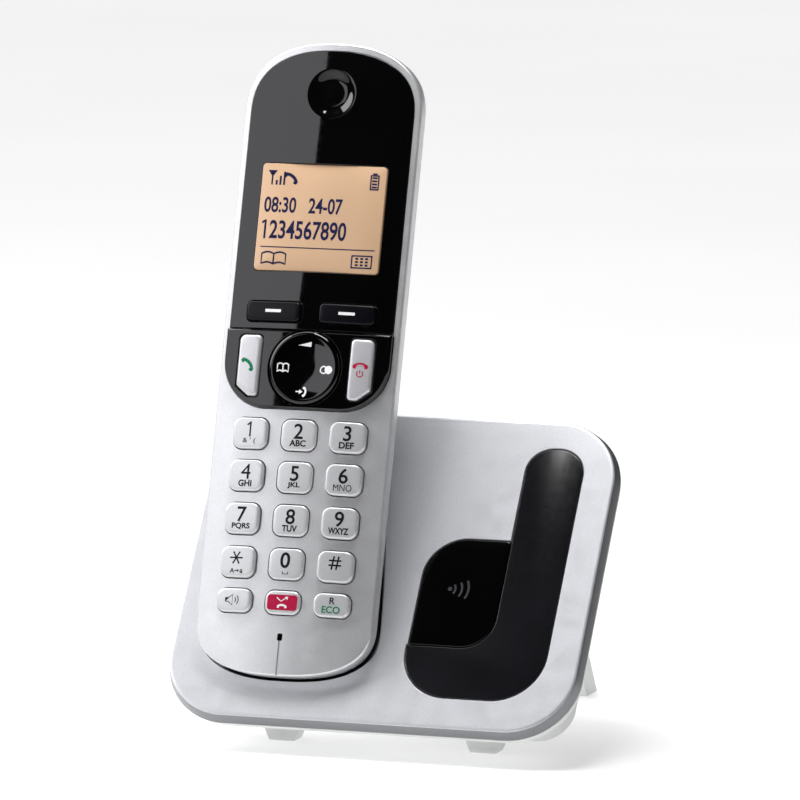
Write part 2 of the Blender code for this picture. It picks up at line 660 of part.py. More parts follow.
def plate_outline(inset):
    return rounded_box(PLATE_WIDTH - 2 * inset, PLATE_LENGTH - 2 * inset, PLATE_CORNER - inset,
                       (0.0, 0.5 * PLATE_LENGTH), 8)


def housing_outline(inset):
    middle = 0.5 * (HOUSING_LOW + HOUSING_HIGH)
    return rounded_box(HOUSING_WIDTH - 2 * inset, HOUSING_HIGH - HOUSING_LOW - 2 * inset,
                       HOUSING_CORNER - inset, (0.0, middle), 8)


def cradle_rings(offset):
    """The handset's hull, grown by the offset, in the plate's frame."""
    stations = ((3.0, 23.3, 0.0, 161.0),) + HULL
    rings = []
    for station in stations:
        outline = hull_outline(station, offset)
        deeper = offset if station is not stations[0] else 0.0
        rings.append([tuple(to_plate((x, y, -(station[0] + deeper)))) for x, y in outline])
    return rings


def strip_outline(grow=0.0):
    """The J-shaped strip: a bar down the right side that hooks under the locator button."""
    g = grow
    inner_left = STRIP_INNER - g
    return rounded_polygon([
        (STRIP_LEFT - g, STRIP_LOW - g, 12.0 + g), (STRIP_RIGHT + g, STRIP_LOW - g, 13.0 + g),
        (STRIP_RIGHT + g, STRIP_HIGH + g, 7.0 + g), (inner_left, STRIP_HIGH + g, 6.6 + g),
        (inner_left, BUTTON_LOW + g, 8.5 - g), (STRIP_LEFT - g, BUTTON_LOW + g, 0.0)], 7)


def button_outline(grow=0.0):
    g = grow - INLAY_GROOVE
    left, right = STRIP_LEFT - g, STRIP_INNER + g
    return rounded_polygon([
        (left, BUTTON_LOW - g, 0.0), (right, BUTTON_LOW - g, 8.5 + g), (right, BUTTON_HIGH + g, 0.6),
        (left, BUTTON_HIGH + g, 11.0 + g)], 7)


def make_top_shell(frame, finish):
    outer = [ring(plate_outline(0.0), 0.0), ring(plate_outline(0.8), 3.0),
             ring(plate_outline(1.2), PLATE_TOP)]
    inner = [ring(plate_outline(PLATE_WALL), 0.0), ring(plate_outline(PLATE_WALL), PLATE_TOP - PLATE_WALL)]
    shell = build("base_top_shell", outer, finish["silver"], frame, hollow=inner)
    boolean(shell, cutter("cradle_mouth", [cradle_rings(CRADLE_CLEARANCE)], frame))
    boolean(shell, cutter("strip_recess", [stack(strip_outline(INLAY_GROOVE), PLATE_TOP - INLAY_DEPTH - GAP,
                                                 8.0)], frame))
    boolean(shell, cutter("button_hole", [stack(button_outline(INLAY_GROOVE), -2.0, 8.0)], frame))
    bosses = [stack(circle(BOSS_RADIUS, spot, 14), BOSS_DEPTH, 2.0) for spot in BASE_SCREWS]
    bores = [stack(circle(BOSS_BORE_RADIUS, spot, 12), BOSS_DEPTH - 1.0, -2.0) for spot in BASE_SCREWS]
    boolean(shell, cutter("shell_bosses", bosses, frame), "UNION")
    boolean(shell, cutter("boss_bores", bores, frame))


def make_base_inlay(frame, finish):
    prism("inlay_strip", strip_outline(), PLATE_TOP - INLAY_DEPTH, PLATE_TOP - 0.1,
          finish["slate_gloss"], frame)
    middle = (0.5 * (STRIP_LEFT + STRIP_INNER), 0.5 * (BUTTON_LOW + BUTTON_HIGH))
    cap = [(x - middle[0], y - middle[1]) for x, y in button_outline()]
    stem = scaled(cap, 0.2, 0.15)
    rings = [ring(stem, STEM_FOOT), ring(stem, -0.4), ring(cap, -0.4), ring(cap, PLATE_TOP - 0.35),
             ring(scaled(cap, 0.98, 0.985), PLATE_TOP - 0.1)]
    build("locator_button", rings, finish["black_gloss"], frame, (*middle, 0.0))
    prism("locator_switch", rounded_box(*SWITCH_SIZE, middle, 2), BASE_BOARD_TOP + GAP,
          STEM_FOOT - LOCATOR_TRAVEL - GAP, finish["component"], frame)


def make_bottom_shell(frame, finish):
    outer = [ring(plate_outline(0.1), -GAP), ring(plate_outline(0.9), -RIM_DEPTH),
             ring(housing_outline(0.0), -RIM_DEPTH), ring(housing_outline(0.0), 1.5 - HOUSING_DEPTH),
             ring(housing_outline(1.5), -HOUSING_DEPTH)]
    floor = SHELL_WALL - HOUSING_DEPTH
    inner = [ring(plate_outline(PLATE_WALL), -GAP), ring(plate_outline(PLATE_WALL), SHELL_WALL - RIM_DEPTH),
             ring(housing_outline(SHELL_WALL), SHELL_WALL - RIM_DEPTH),
             ring(housing_outline(SHELL_WALL), floor)]
    shell = build("base_bottom_shell", outer, finish["light_shell"], frame, hollow=inner)
    low, high = BASE_BOARD_TOP, SOCKET_TOP + GAP
    mouths = [box_along_y(x, width + 2 * GAP, low, high, 78.0, 86.0)
              for x, width in ((LINE_SOCKET_X, LINE_SOCKET_WIDTH), (POWER_SOCKET_X, POWER_SOCKET_WIDTH))]
    holes = [stack(circle(1.2, spot, 12), -20.0, -10.0) for spot in BASE_SCREWS]
    boolean(shell, cutter("socket_mouths", mouths + holes, frame))


def make_cradle(frame, finish):
    pocket = build("cradle_pocket", cradle_rings(CRADLE_CLEARANCE + CRADLE_WALL), finish["dark_liner"], frame)
    above = rounded_box(140.0, 260.0, 2.0, (0.0, 90.0))
    boolean(pocket, cutter("cradle_void", [cradle_rings(CRADLE_CLEARANCE)], frame))
    boolean(pocket, cutter("cradle_trim", [stack(above, PLATE_TOP - PLATE_WALL - GAP, 200.0)], frame))
    wells = [stack(circle(PIN_RADIUS + 0.35, (HANDSET_X + side * CONTACT_X, PIN_UP_PLATE), 16), -12.0, 0.0)
             for side in (-1, 1)]
    boolean(pocket, cutter("pin_wells", wells, frame))


def make_base_innards(frame, finish):
    foot = BASE_BOARD_TOP + GAP
    prism("base_board", rounded_box(*BASE_BOARD_SIZE, (0.0, BASE_BOARD_Y)), BASE_BOARD_BASE, BASE_BOARD_TOP,
          finish["board"], frame)
    prism("base_antenna", rounded_box(*ANTENNA_SIZE, ANTENNA_PLACE, 2), foot, ANTENNA_TOP,
          finish["contact"], frame)
    line = build("line_socket", box_along_y(LINE_SOCKET_X, LINE_SOCKET_WIDTH, foot, SOCKET_TOP, 66.0),
                 finish["component"], frame)
    middle = 0.5 * (foot + SOCKET_TOP)
    mouth = box_along_y(LINE_SOCKET_X, LINE_MOUTH_WIDTH, middle - LINE_MOUTH_HALF_HEIGHT,
                        middle + LINE_MOUTH_HALF_HEIGHT, 69.0, SOCKET_MOUTH + 3.0)
    boolean(line, cutter("line_mouth", [mouth], frame))
    power = build("power_socket", box_along_y(POWER_SOCKET_X, POWER_SOCKET_WIDTH, foot, SOCKET_TOP, 68.0),
                  finish["component"], frame)
    barrel = rod_y(POWER_SOCKET_X, middle,
                   ((71.0, POWER_BARREL_RADIUS), (SOCKET_MOUTH + 3.0, POWER_BARREL_RADIUS)))
    pin = rod_y(POWER_SOCKET_X, middle, ((71.0, POWER_PIN_RADIUS), (SOCKET_MOUTH - 0.6, POWER_PIN_RADIUS)))
    boolean(power, cutter("power_mouth", [barrel], frame, hollow=pin))
    for side, word in ((-1, "left"), (1, "right")):
        low, high = PIN_COLLAR
        profile = ((PIN_RADIUS, PIN_FOOT), (PIN_RADIUS, low), (PIN_COLLAR_RADIUS, low),
                   (PIN_COLLAR_RADIUS, high), (PIN_RADIUS, high), (PIN_RADIUS, PIN_TIP - 0.5), (0.6, PIN_TIP))
        rings = [ring(circle(radius, steps=16), level) for radius, level in profile]
        build(f"charge_pin_{word}", rings, finish["contact"], frame,
              (HANDSET_X + side * CONTACT_X, PIN_UP_PLATE, 0.0))
    for (x, y), word in zip(BASE_SCREWS, ("upper", "lower")):
        rings = [ring(circle(radius, steps=14), level) for radius, level in BASE_SCREW_PROFILE]
        build(f"base_screw_{word}", rings, finish["steel"], frame, (x, y, 0.0))


def box_along_y(x, width, low, high, start, end=SOCKET_MOUTH):
    corners = ((-0.5, 0), (0.5, 0), (0.5, 1), (-0.5, 1))
    return [[(x + a * width, y, low + b * (high - low)) for a, b in corners] for y in (start, end)]


# ---------------------------------------------------------------- stand and feet

def plate_to_world(up, out):
    """World y and z of a place up the plate and out of it, in the plane across the middle."""
    tilt = math.radians(PLATE_TILT)
    return (PLATE_SEAM_FRONT + up * math.cos(tilt) - out * math.sin(tilt),
            PLATE_SEAM_HEIGHT + up * math.sin(tilt) + out * math.cos(tilt))


def leg_reach(ground_y, out):
    """Where a line up the leg from the ground meets the plane at this place behind the plate."""
    tilt, lean = math.radians(PLATE_TILT), math.radians(LEG_LEAN)
    start_out = -ground_y * math.sin(tilt) - PLATE_SEAM_HEIGHT * math.cos(tilt)
    run = (out - start_out) / math.cos(tilt - lean)
    return (PLATE_SEAM_FRONT + ground_y - run * math.sin(lean), run * math.cos(lean))


def make_stand(finish):
    """An easel leg pair: a strip across the back that opens into two legs near the ground."""
    back = -HOUSING_DEPTH - GAP
    profile = [(PLATE_SEAM_FRONT + LEG_GROUND_FRONT, 0.0), (PLATE_SEAM_FRONT + LEG_GROUND_BACK, 0.0),
               leg_reach(LEG_GROUND_BACK, back - LEG_THICKNESS), plate_to_world(STAND_STRIP_HIGH, back),
               plate_to_world(STAND_STRIP_LOW, back),
               plate_to_world(STAND_STRIP_LOW, back - STAND_STRIP_THICKNESS),
               leg_reach(LEG_GROUND_FRONT, back - STAND_STRIP_THICKNESS)]
    rings = [[(x, y, z) for y, z in profile] for x in (-LEG_OUTER_X, LEG_OUTER_X)]
    stand = build("rear_stand", rings, finish["light_shell"], None)
    inner = LEG_OUTER_X - LEG_THICKNESS
    gap = [[(x, y, z) for y, z in ((0.0, -5.0), (90.0, -5.0), (90.0, LEG_GAP_TOP), (0.0, LEG_GAP_TOP))]
           for x in (-inner, inner)]
    thin = LEG_GROUND_FRONT + 3.0
    slab = [(PLATE_SEAM_FRONT + thin, 0.0), (PLATE_SEAM_FRONT + thin + 30.0, 0.0),
            leg_reach(thin + 30.0, back - 5.0), leg_reach(thin, back - 5.0)]
    hollow = [[(x, y, z) for y, z in slab] for x in (-inner, inner)]
    boolean(stand, cutter("leg_gap", [gap], None))
    boolean(stand, cutter("leg_hollow", [hollow], None))


def make_feet(finish):
    for side, word in ((-1, "left"), (1, "right")):
        crown = [plate_to_world(HOUSING_LOW + 3.5, -HOUSING_DEPTH - GAP),
                 plate_to_world(HOUSING_LOW + 1.4, -HOUSING_DEPTH - GAP),
                 plate_to_world(HOUSING_LOW - GAP, 1.4 - HOUSING_DEPTH),
                 plate_to_world(HOUSING_LOW - GAP, 5.0 - HOUSING_DEPTH)]
        front, rear = PLATE_SEAM_FRONT + FOOT_FRONT, PLATE_SEAM_FRONT + FOOT_REAR
        rings = []
        for x, foot in ((-FOOT_HALF_WIDTH, FOOT_CHAMFER), (-FOOT_SOLE_HALF_WIDTH, 0.0),
                        (FOOT_SOLE_HALF_WIDTH, 0.0), (FOOT_HALF_WIDTH, FOOT_CHAMFER)):
            outline = crown + [(front, foot + 0.5), (front + 0.6, foot), (rear - 0.6, foot),
                               (rear, foot + 0.5)]
            rings.append([(side * FOOT_X + x, y, z) for y, z in outline])
        build(f"front_foot_{word}", rings, finish["light_shell"], None)


def main():
    clear_scene()
    finish = make_materials()
    plate, handset = make_frames()
    make_front_case(handset, finish)
    make_panels(handset, finish)
    make_rear_case(handset, finish)
    make_keys(handset, finish)
    make_navigator(handset, finish)
    make_handset_innards(handset, finish)
    make_top_shell(plate, finish)
    make_base_inlay(plate, finish)
    make_bottom_shell(plate, finish)
    make_cradle(plate, finish)
    make_base_innards(plate, finish)
    make_stand(finish)
    make_feet(finish)


main()
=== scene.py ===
import json
import math

import bmesh
import bpy
import numpy as np
from mathutils import Matrix, Vector


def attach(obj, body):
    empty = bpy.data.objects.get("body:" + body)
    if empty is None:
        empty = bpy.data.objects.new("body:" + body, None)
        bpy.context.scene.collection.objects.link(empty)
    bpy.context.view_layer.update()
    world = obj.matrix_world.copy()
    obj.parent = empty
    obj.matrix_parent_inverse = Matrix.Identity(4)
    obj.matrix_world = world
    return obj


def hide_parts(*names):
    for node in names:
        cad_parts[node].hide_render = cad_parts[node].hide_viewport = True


# Finished surfaces, finishes and studio for a cordless telephone standing in its charging base.
#
# Lengths are millimetres until a mesh is made. The handset is drawn in its own place: x across, y up its
# length from the mouth end, z out of its face, with z = 0 level with the digit keys. The base is drawn in
# the plate's place: x across, y up the sloping plate, z out of it, with z = 0 on the seam of its shells.

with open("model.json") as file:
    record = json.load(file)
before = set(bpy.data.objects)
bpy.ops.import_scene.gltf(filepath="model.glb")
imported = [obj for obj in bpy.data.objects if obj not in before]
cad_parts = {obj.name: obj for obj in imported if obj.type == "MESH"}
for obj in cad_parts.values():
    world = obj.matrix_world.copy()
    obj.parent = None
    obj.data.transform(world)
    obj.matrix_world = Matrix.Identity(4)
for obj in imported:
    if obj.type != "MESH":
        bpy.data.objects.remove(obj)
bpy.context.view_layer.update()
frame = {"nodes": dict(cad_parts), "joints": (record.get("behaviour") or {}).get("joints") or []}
MM = 0.001
GAP = 0.3

# Handset casings
CASE_LENGTH, CASE_HALF_WIDTH = 161.0, 23.4
CASE_SEAM = -6.9
CASE_WALL = 1.9
# The case's side from the seam up: inset and level
CASE_SIDE = ((0.55, CASE_SEAM), (0.2, CASE_SEAM + 0.12), (0.05, CASE_SEAM + 0.4), (0.0, -4.8))
FACE_LEVEL, FACE_CROWN = -0.7, 1.7
FACE_ROUND = 0.75
INNER_FACE = -4.2
PANEL_FLOOR, PANEL_SEAM = -3.2, 0.15
# Levels that cutters reach: over the face, under it, under the panels, and behind the hull
ABOVE_FACE, BELOW_FACE, BELOW_PANEL, BEHIND_HULL = 4.0, INNER_FACE - 1.0, -5.0, -30.0
# Levels between which the case is opened under a panel
PANEL_OPENING = (-6.0, 1.0)
END_LOW, END_LOW_POWER = 14.0, 2.5
END_HIGH, END_HIGH_POWER = 18.0, 2.4
END_STEPS = 36
# The hull behind the seam: level, half width, lowest and highest place
HULL = np.array([(-7.2, 23.1, 0.2, 160.8), (-9.5, 22.2, 1.5, 160.0), (-13.0, 20.8, 4.5, 157.5),
                 (-17.0, 18.8, 9.5, 153.5), (-20.5, 16.2, 15.5, 148.5), (-23.0, 12.8, 22.0, 143.0),
                 (-24.6, 9.2, 28.0, 138.0), (-25.2, 6.0, 32.0, 135.0)])
HULL_WALL = 1.7

# Black panels
PANEL_HALF_WIDTH = 21.65
PANEL_LOW, PANEL_SPLIT, PANEL_HIGH = 67.2, 87.3, 158.9
PANEL_BASE = -2.9
LENS_LEVEL, NAV_LEVEL, NAV_CROWN = -0.35, 0.3, 0.8
LENS_ROUND = 0.3
LENS_SPINE, NAV_SPINE = (105.0, 141.0), (76.0, 77.0)
# The navigator panel's bevel: inset, and drop under its top
NAV_BEVEL = ((0.0, 0.75), (0.12, 0.55), (0.45, 0.08), (0.6, 0.0))
WINDOW = (33.2, 27.6, 1.0)
WINDOW_Y = 116.0
HOLDER_MARGIN, HOLDER_ROOM, HOLDER_CORNER, HOLDER_FOOT = 4.0, 4.8, 1.0, -6.6
GLASS_GAP, GLASS_LEVEL, GLASS_ROUND = 0.3, -0.8, 0.12
DISH_Y, DISH_RADIUS, DISH_FLOOR_RADIUS, DISH_DEPTH = 148.0, 6.9, 3.1, 1.1
# Radii of the rings on the dish's floor, and how far its mouth stands over the panel so that the cut is clean
DISH_FLOOR_RINGS, DISH_LIFT = [0.3, 1.6], 0.004
EAR_SLOT, EAR_SLOT_Y = (4.4, 1.2, 0.55), 151.0
MOUTH_HOLE, MOUTH_HOLE_Y = (1.3, 1.8, 0.3), 9.8
MOUTH_GROOVE, MOUTH_GROOVE_Y, MOUTH_GROOVE_FLOOR = (0.5, 9.6, 0.2), 4.2, -1.1

# Keys: width, height and corner radius of each cap, and the level of its top
COLUMN_PITCH = 12.9
ROWS = (60.7, 50.0, 39.1, 28.1)
FUNCTION_ROW = 18.4
DIGIT_CAP, FUNCTION_CAP, SOFT_CAP = (9.3, 7.9, 2.3), (9.3, 6.0, 2.2), (14.4, 5.0, 1.2)
SOFT_X, SOFT_Y, SOFT_TOP = 9.75, 91.8, 0.25
CALL_X, CALL_Y, CALL_TOP = 14.85, 77.8, 0.75
CALL_CAP = (5.9, 15.5)
NAVIGATOR_Y, NAVIGATOR_RADIUS = 77.7, 9.3
KEY_GAP, NAVIGATOR_GAP = 0.25, 0.35
KEY_FOOT = -4.4
KEY_ROUND, CALL_ROUND = 0.55, 0.7
DIGIT_CROWN, PANEL_KEY_CROWN = 0.1, 0.12
# The rings of a cap's top, as shares of the way from its middle to its rim
CAP_SHARES = (0.85, 0.65, 0.45, 0.25, 0.08)
# How far each opening's mouth flares
KEY_FLARE, MOUTH_FLARE, GROOVE_FLARE, PANEL_FLARE, NAVIGATOR_FLARE = 0.14, 0.08, 0.1, 0.2, 0.25

# Battery cover, ringer slots and screw wells in the hull
BAY = (26.0, 50.0, 2.0)
BAY_Y, BAY_FLOOR = 101.0, -14.0
RIDGE, RIDGE_Y, RIDGE_PITCH, RIDGE_LEVELS = (9.0, 0.7, 0.34), BAY_Y + 14.0, 1.5, (-26.0, -24.98)
RINGER_Y, RINGER_PITCH, RINGER_SLOT, RINGER_FLOOR = 134.4, 2.6, (9.0, 1.2, 0.55), -20.0
SCREW_X, SCREW_Y, SCREW_WELL_RADIUS, SCREW_WELL_FLOOR = 14.5, 60.0, 2.2, -14.0
SCREW_BOSS_RADIUS, SCREW_BOSS_LEVELS = 3.2, (-20.5, -9.0)
CONTACT_X, CONTACT_SLOT, CONTACT_SLOT_DEPTH = 8.0, (5.2, 4.4, 0.5), 0.9

# Base
PLATE_WIDTH, PLATE_LENGTH, PLATE_CORNER = 108.4, 87.9, 17.5
PLATE_TOP, PLATE_WALL, RIM_DEPTH = 3.4, 2.2, 3.4
# The plate's leaning edge from the seam up: inset and level
PLATE_EDGE = ((0.12, 0.0), (0.0, 0.15), (0.75, 2.9), (0.86, 3.12), (1.05, 3.3), (1.4, 3.39), (1.8, PLATE_TOP))
EDGE_BAND = 1.6
# The lower shell's edge from the seam down: inset and level
LOWER_EDGE = ((0.25, -GAP), (0.1, -GAP - 0.15), (0.75, -RIM_DEPTH + 0.5), (0.95, -RIM_DEPTH + 0.15),
              (1.4, -RIM_DEPTH))
HOUSING = (97.0, 74.7, 9.0)
HOUSING_Y, HOUSING_DEPTH, HOUSING_ROUND = 45.15, 17.5, 1.5
# How the housing leaves the lower shell's edge: inset, and drop under that edge
HOUSING_ROOT = ((-0.6, 0.0), (-0.15, 0.2), (0.0, 0.7))
SHELL_WALL = 1.8
STRIP_LEFT, STRIP_INNER, STRIP_RIGHT, STRIP_LOW, STRIP_HIGH = 8.3, 30.0, 44.8, 9.3, 79.4
BUTTON_LOW, BUTTON_HIGH = 23.0, 53.4
GROOVE, PLATE_FLARE = 0.35, 0.15
INLAY_DEPTH, INLAY_DROP, STRIP_ROUND, BUTTON_ROUND = 1.2, 0.1, 0.2, 0.25
BUTTON_FOOT, BUTTON_OPENING_FLOOR = -0.4, -2.0
STEM, STEM_LEVELS = (4.2, 4.4, 0.6), (-4.6, -0.2)
CRADLE_CLEARANCE, CRADLE_WALL = 0.9, 1.4
CRADLE_HALF_WIDTH, CRADLE_MOUTH = 23.3, -3.0
PIN_Y, PIN_RADIUS, PIN_GAP, PIN_WELL_LEVELS = 27.7, 1.2, 0.35, (-12.0, 0.0)
# A box that takes in all of the cradle over the plate: its size, its middle, and its top
OVER_PLATE, OVER_PLATE_MIDDLE, OVER_PLATE_TOP = (140.0, 260.0, 2.0), (0.0, 90.0), 200.0
LINE_SOCKET = (17.5, 12.6)
POWER_SOCKET = (32.5, 9.4)
SOCKET_FOOT, SOCKET_TOP, SOCKET_FRONT, SOCKET_BACK = -13.6, -4.2, 78.0, 86.0
BASE_SCREWS = ((-40.5, 73.0), (40.5, 17.0))
BELOW_HOUSING = -20.0
BASE_SCREW_WELL, BASE_SCREW_HOLE = (2.6, -17.2), (1.2, -10.0)

INK, PRINT_RISE, OVER_LABEL = 0.03, 0.02, 0.05
# A corner this near a crowned top, in millimetres, is on it; a face under this area, in square metres, is
# a sliver
ON_TOP, SLIVER = 0.03, 2e-9
# Shares of the way out from the middle line at which a crowned top has a ring
CROWN_SHARES = (0.93, 0.8, 0.65, 0.5, 0.35, 0.2, 0.06)


# ---------------------------------------------------------------- places in the frame

class Place:
    """An origin and three axes; a drawn point lands at origin + x*across + y*up + z*out."""

    def __init__(self, origin, up, out):
        self.origin = np.array(origin, float)
        self.axes = np.array([np.cross(up, out), up, out], float)

    def world(self, points):
        return (self.origin + np.asarray(points, float) @ self.axes) * MM

    def local(self, points):
        """World metres back to drawn millimetres."""
        return (np.asarray(points, float) / MM - self.origin) @ self.axes.T


def node_points(node):
    """A CAD node's corners in millimetres."""
    mesh = frame["nodes"][node].data
    flat = np.empty(3 * len(mesh.vertices), np.float32)
    mesh.vertices.foreach_get("co", flat)
    return flat.reshape(-1, 3).astype(float) / MM


def joint_axis(name):
    """The unit axis of a joint of the frame."""
    axis = np.array([j["axis"] for j in frame["joints"] if j["name"] == name][0], float)
    return axis / np.linalg.norm(axis)


def find_places():
    """The handset's place from its lift and key joints, and the plate's from its button's joint."""
    up, out = joint_axis("handset_lift"), -joint_axis("key_5_press")
    across = np.cross(up, out)
    middle = node_points("navigator") @ across
    origin = (0.5 * (middle.min() + middle.max()) * across + (node_points("front_case") @ up).min() * up
              + (node_points("key_5") @ out).max() * out)
    plate_out = -joint_axis("locator_press")
    plate_up = np.array([0.0, plate_out[2], -plate_out[1]])
    shell = node_points("base_top_shell")
    seam = (shell @ plate_up).min() * plate_up + ((shell @ plate_out).max() - PLATE_TOP) * plate_out
    return Place(origin, up, out), Place(seam, plate_up, plate_out)


HANDSET, PLATE = find_places()


# ---------------------------------------------------------------- outlines, as arrays of x and y

def rounded(corners, steps=10, sides=6):
    """Corners (x, y, radius), anticlockwise; each becomes points centre + radius*(cos t, sin t) between
    its two tangent points, bending the other way where the outline is hollow. Each straight side between
    two corners is split evenly."""
    table = np.array(corners, float)
    runs = []
    for index, (x, y, radius) in enumerate(table):
        here = np.array((x, y))
        back = table[index - 1, :2] - here
        ahead = table[(index + 1) % len(table), :2] - here
        back, ahead = back / np.linalg.norm(back), ahead / np.linalg.norm(ahead)
        half = 0.5 * math.acos(float(np.clip(back @ ahead, -1.0, 1.0)))
        reach = radius / math.tan(half)
        middle = back + ahead
        centre = here + middle / np.linalg.norm(middle) * (radius / math.sin(half))
        start, end = here + back * reach - centre, here + ahead * reach - centre
        first = math.atan2(start[1], start[0])
        turn = math.atan2(start[0] * end[1] - start[1] * end[0], float(start @ end))
        angles = first + turn * np.linspace(0.0, 1.0, steps + 1)
        runs.append(centre + radius * np.stack([np.cos(angles), np.sin(angles)], axis=1))
    shares = np.linspace(0.0, 1.0, sides + 1)[1:-1, None]
    split = [np.concatenate([run, run[-1] + shares * (after[0] - run[-1])])
             for run, after in zip(runs, runs[1:] + runs[:1])]
    return np.concatenate(split)


def box_outline(width, height, radius, centre=(0.0, 0.0), steps=8):
    """A box with rounded corners."""
    x, y = 0.5 * width, 0.5 * height
    outline = rounded([(-x, -y, radius), (x, -y, radius), (x, y, radius), (-x, y, radius)], steps, 8)
    return outline + np.array(centre)


def circle(radius, centre=(0.0, 0.0), steps=96):
    """Points centre + radius*(cos t, sin t)."""
    angles = np.linspace(0.0, 2.0 * math.pi, steps, endpoint=False)
    return np.array(centre) + radius * np.stack([np.cos(angles), np.sin(angles)], axis=1)


def superellipse_end(half, tip, reach, power, side):
    """Half of a superellipse: x = half*sign(c)*|c|^(2/p), y = tip + reach*(1 - |s|^(2/p))."""
    angles = np.linspace(0.0, math.pi, END_STEPS + 1)
    across, along = np.cos(angles), np.sin(angles)
    x = side * half * np.sign(across) * np.abs(across) ** (2.0 / power)
    return np.stack([x, tip + reach * (1.0 - np.abs(along) ** (2.0 / power))], axis=1)


def long_outline(half, low, high, reach_low, reach_high):
    """Two superellipse ends joined by straight sides, anticlockwise from the lower left."""
    return np.concatenate([superellipse_end(half, low, reach_low, END_LOW_POWER, -1),
                           superellipse_end(half, high, -reach_high, END_HIGH_POWER, 1)])


def case_outline(inset):
    return long_outline(CASE_HALF_WIDTH - inset, inset, CASE_LENGTH - inset,
                        END_LOW - inset, END_HIGH - inset)


def lens_outline(inset=0.0):
    """The display panel: square corners at the split, and a superellipse round the ear end."""
    half, low = PANEL_HALF_WIDTH - inset, PANEL_SPLIT + 0.5 * GAP + inset
    corner = np.array((half - 0.4, low + 0.4)) + 0.4 * arc((0.0, 0.0), 1.0, -90.0, 0.0, 4)
    foot = np.column_stack([np.linspace(-half + 0.4, half - 0.4, 17), np.full(17, low)])[1:-1]
    top = superellipse_end(half, PANEL_HIGH - inset, inset + 2.0 - END_HIGH, END_HIGH_POWER, 1)
    return np.concatenate([corner[::-1] * (-1.0, 1.0), foot, corner, top])


def nav_outline(inset=0.0):
    half = PANEL_HALF_WIDTH + 0.2 - inset
    low, high = PANEL_LOW + inset, PANEL_SPLIT - 0.5 * GAP - inset
    return rounded([(-half, low, 12.0 - inset), (half, low, 12.0 - inset), (half, high, 0.4),
                    (-half, high, 0.4)], 16, 14)


def call_outline(side, grow=0.0):
    """A call key: upright, with its lower outer corner cut along the panel's curve."""
    x, y = 0.5 * CALL_CAP[0] + grow, 0.5 * CALL_CAP[1] + grow
    cut_x, cut_y = 3.4, 2.6
    corners = [(-x, -y, 0.9), (x - cut_x, -y, 0.9), (x, -y + cut_y, 1.0), (x, y, 1.5), (-x, y, 1.1)]
    if side < 0:
        corners = [(-a, b, r) for a, b, r in reversed(corners)]
    return rounded(corners, 7)


def plate_outline(inset):
    return box_outline(PLATE_WIDTH - 2 * inset, PLATE_LENGTH - 2 * inset, PLATE_CORNER - inset,
                       (0.0, 0.5 * PLATE_LENGTH), 24)


def housing_outline(inset):
    width, height, radius = HOUSING
    return box_outline(width - 2 * inset, height - 2 * inset, radius - inset, (0.0, HOUSING_Y), 24)


def strip_outline(grow=0.0):
    """The J-shaped strip: a bar down the right side that hooks under the locator button."""
    g = grow
    inner = STRIP_INNER - g
    return rounded([(STRIP_LEFT - g, STRIP_LOW - g, 12.0 + g), (STRIP_RIGHT + g, STRIP_LOW - g, 13.0 + g),
                    (STRIP_RIGHT + g, STRIP_HIGH + g, 7.0 + g), (inner, STRIP_HIGH + g, 6.6 + g),
                    (inner, BUTTON_LOW + g, 8.5 - g), (STRIP_LEFT - g, BUTTON_LOW + g, 0.15)], 14)


def button_outline(grow=0.0):
    g = grow - GROOVE
    left, right = STRIP_LEFT - g, STRIP_INNER + g
    return rounded([(left, BUTTON_LOW - g, 0.3), (right, BUTTON_LOW - g, 8.5 + g),
                    (right, BUTTON_HIGH + g, 0.6), (left, BUTTON_HIGH + g, 11.0 + g)], 14)


# ---------------------------------------------------------------- levels over the outlines

def crowned(level, crown, drop=0.0):
    """A level that falls off with the square of the distance from the middle line."""
    return lambda x, y: level - crown * (x / PANEL_HALF_WIDTH) ** 2 - drop


FACE = crowned(FACE_LEVEL, FACE_CROWN)
LENS = crowned(LENS_LEVEL, FACE_CROWN)
NAV = crowned(NAV_LEVEL, NAV_CROWN)


def ring(outline, level, drop=0.0):
    """An outline at one level, which is a number or a function of x and y, less a drop."""
    x, y = outline[:, 0], outline[:, 1]
    z = level(x, y) if callable(level) else np.full(len(outline), float(level))
    return np.stack([x, y, z - drop], axis=1)


def soft_rim(outline_at, level, radius, steps=5):
    """A quarter-round edge: inset = r*(1 - cos t) and drop = r*(1 - sin t), for t from 0 to 90 degrees."""
    return [ring(outline_at(radius * (1.0 - math.cos(t))), level, radius * (1.0 - math.sin(t)))
            for t in np.linspace(0.0, 0.5 * math.pi, steps + 1)]


def crown_cap(outline, level, shares, spine_low=0.0, spine_high=0.0):
    """Rings that shrink an outline towards a spine on the middle line, each laid on the level."""
    spine = np.column_stack([np.zeros(len(outline)), np.clip(outline[:, 1], spine_low, spine_high)])
    return [ring(spine + share * (outline - spine), level) for share in shares]


# ---------------------------------------------------------------- meshes from rings

def flared(outline_at, level, depth, flare, steps=3):
    """A cutter whose mouth flares by nearly a quarter round where it passes through a surface:
    growth = f*(1 - cos t) and drop = f*(1 - sin t), for t from 0 to 85 degrees."""
    mouth = [ring(outline_at(flare * (1.0 - math.cos(t))), level, flare * (1.0 - math.sin(t)))
             for t in np.linspace(0.0, 0.47 * math.pi, steps + 1)]
    return [ring(outline_at(0.0), depth)] + mouth + [ring(outline_at(flare), ABOVE_FACE)]


def prism(outline, low, high):
    """An outline carried straight from a low level to a high one."""
    return [ring(outline, low), ring(outline, high)]


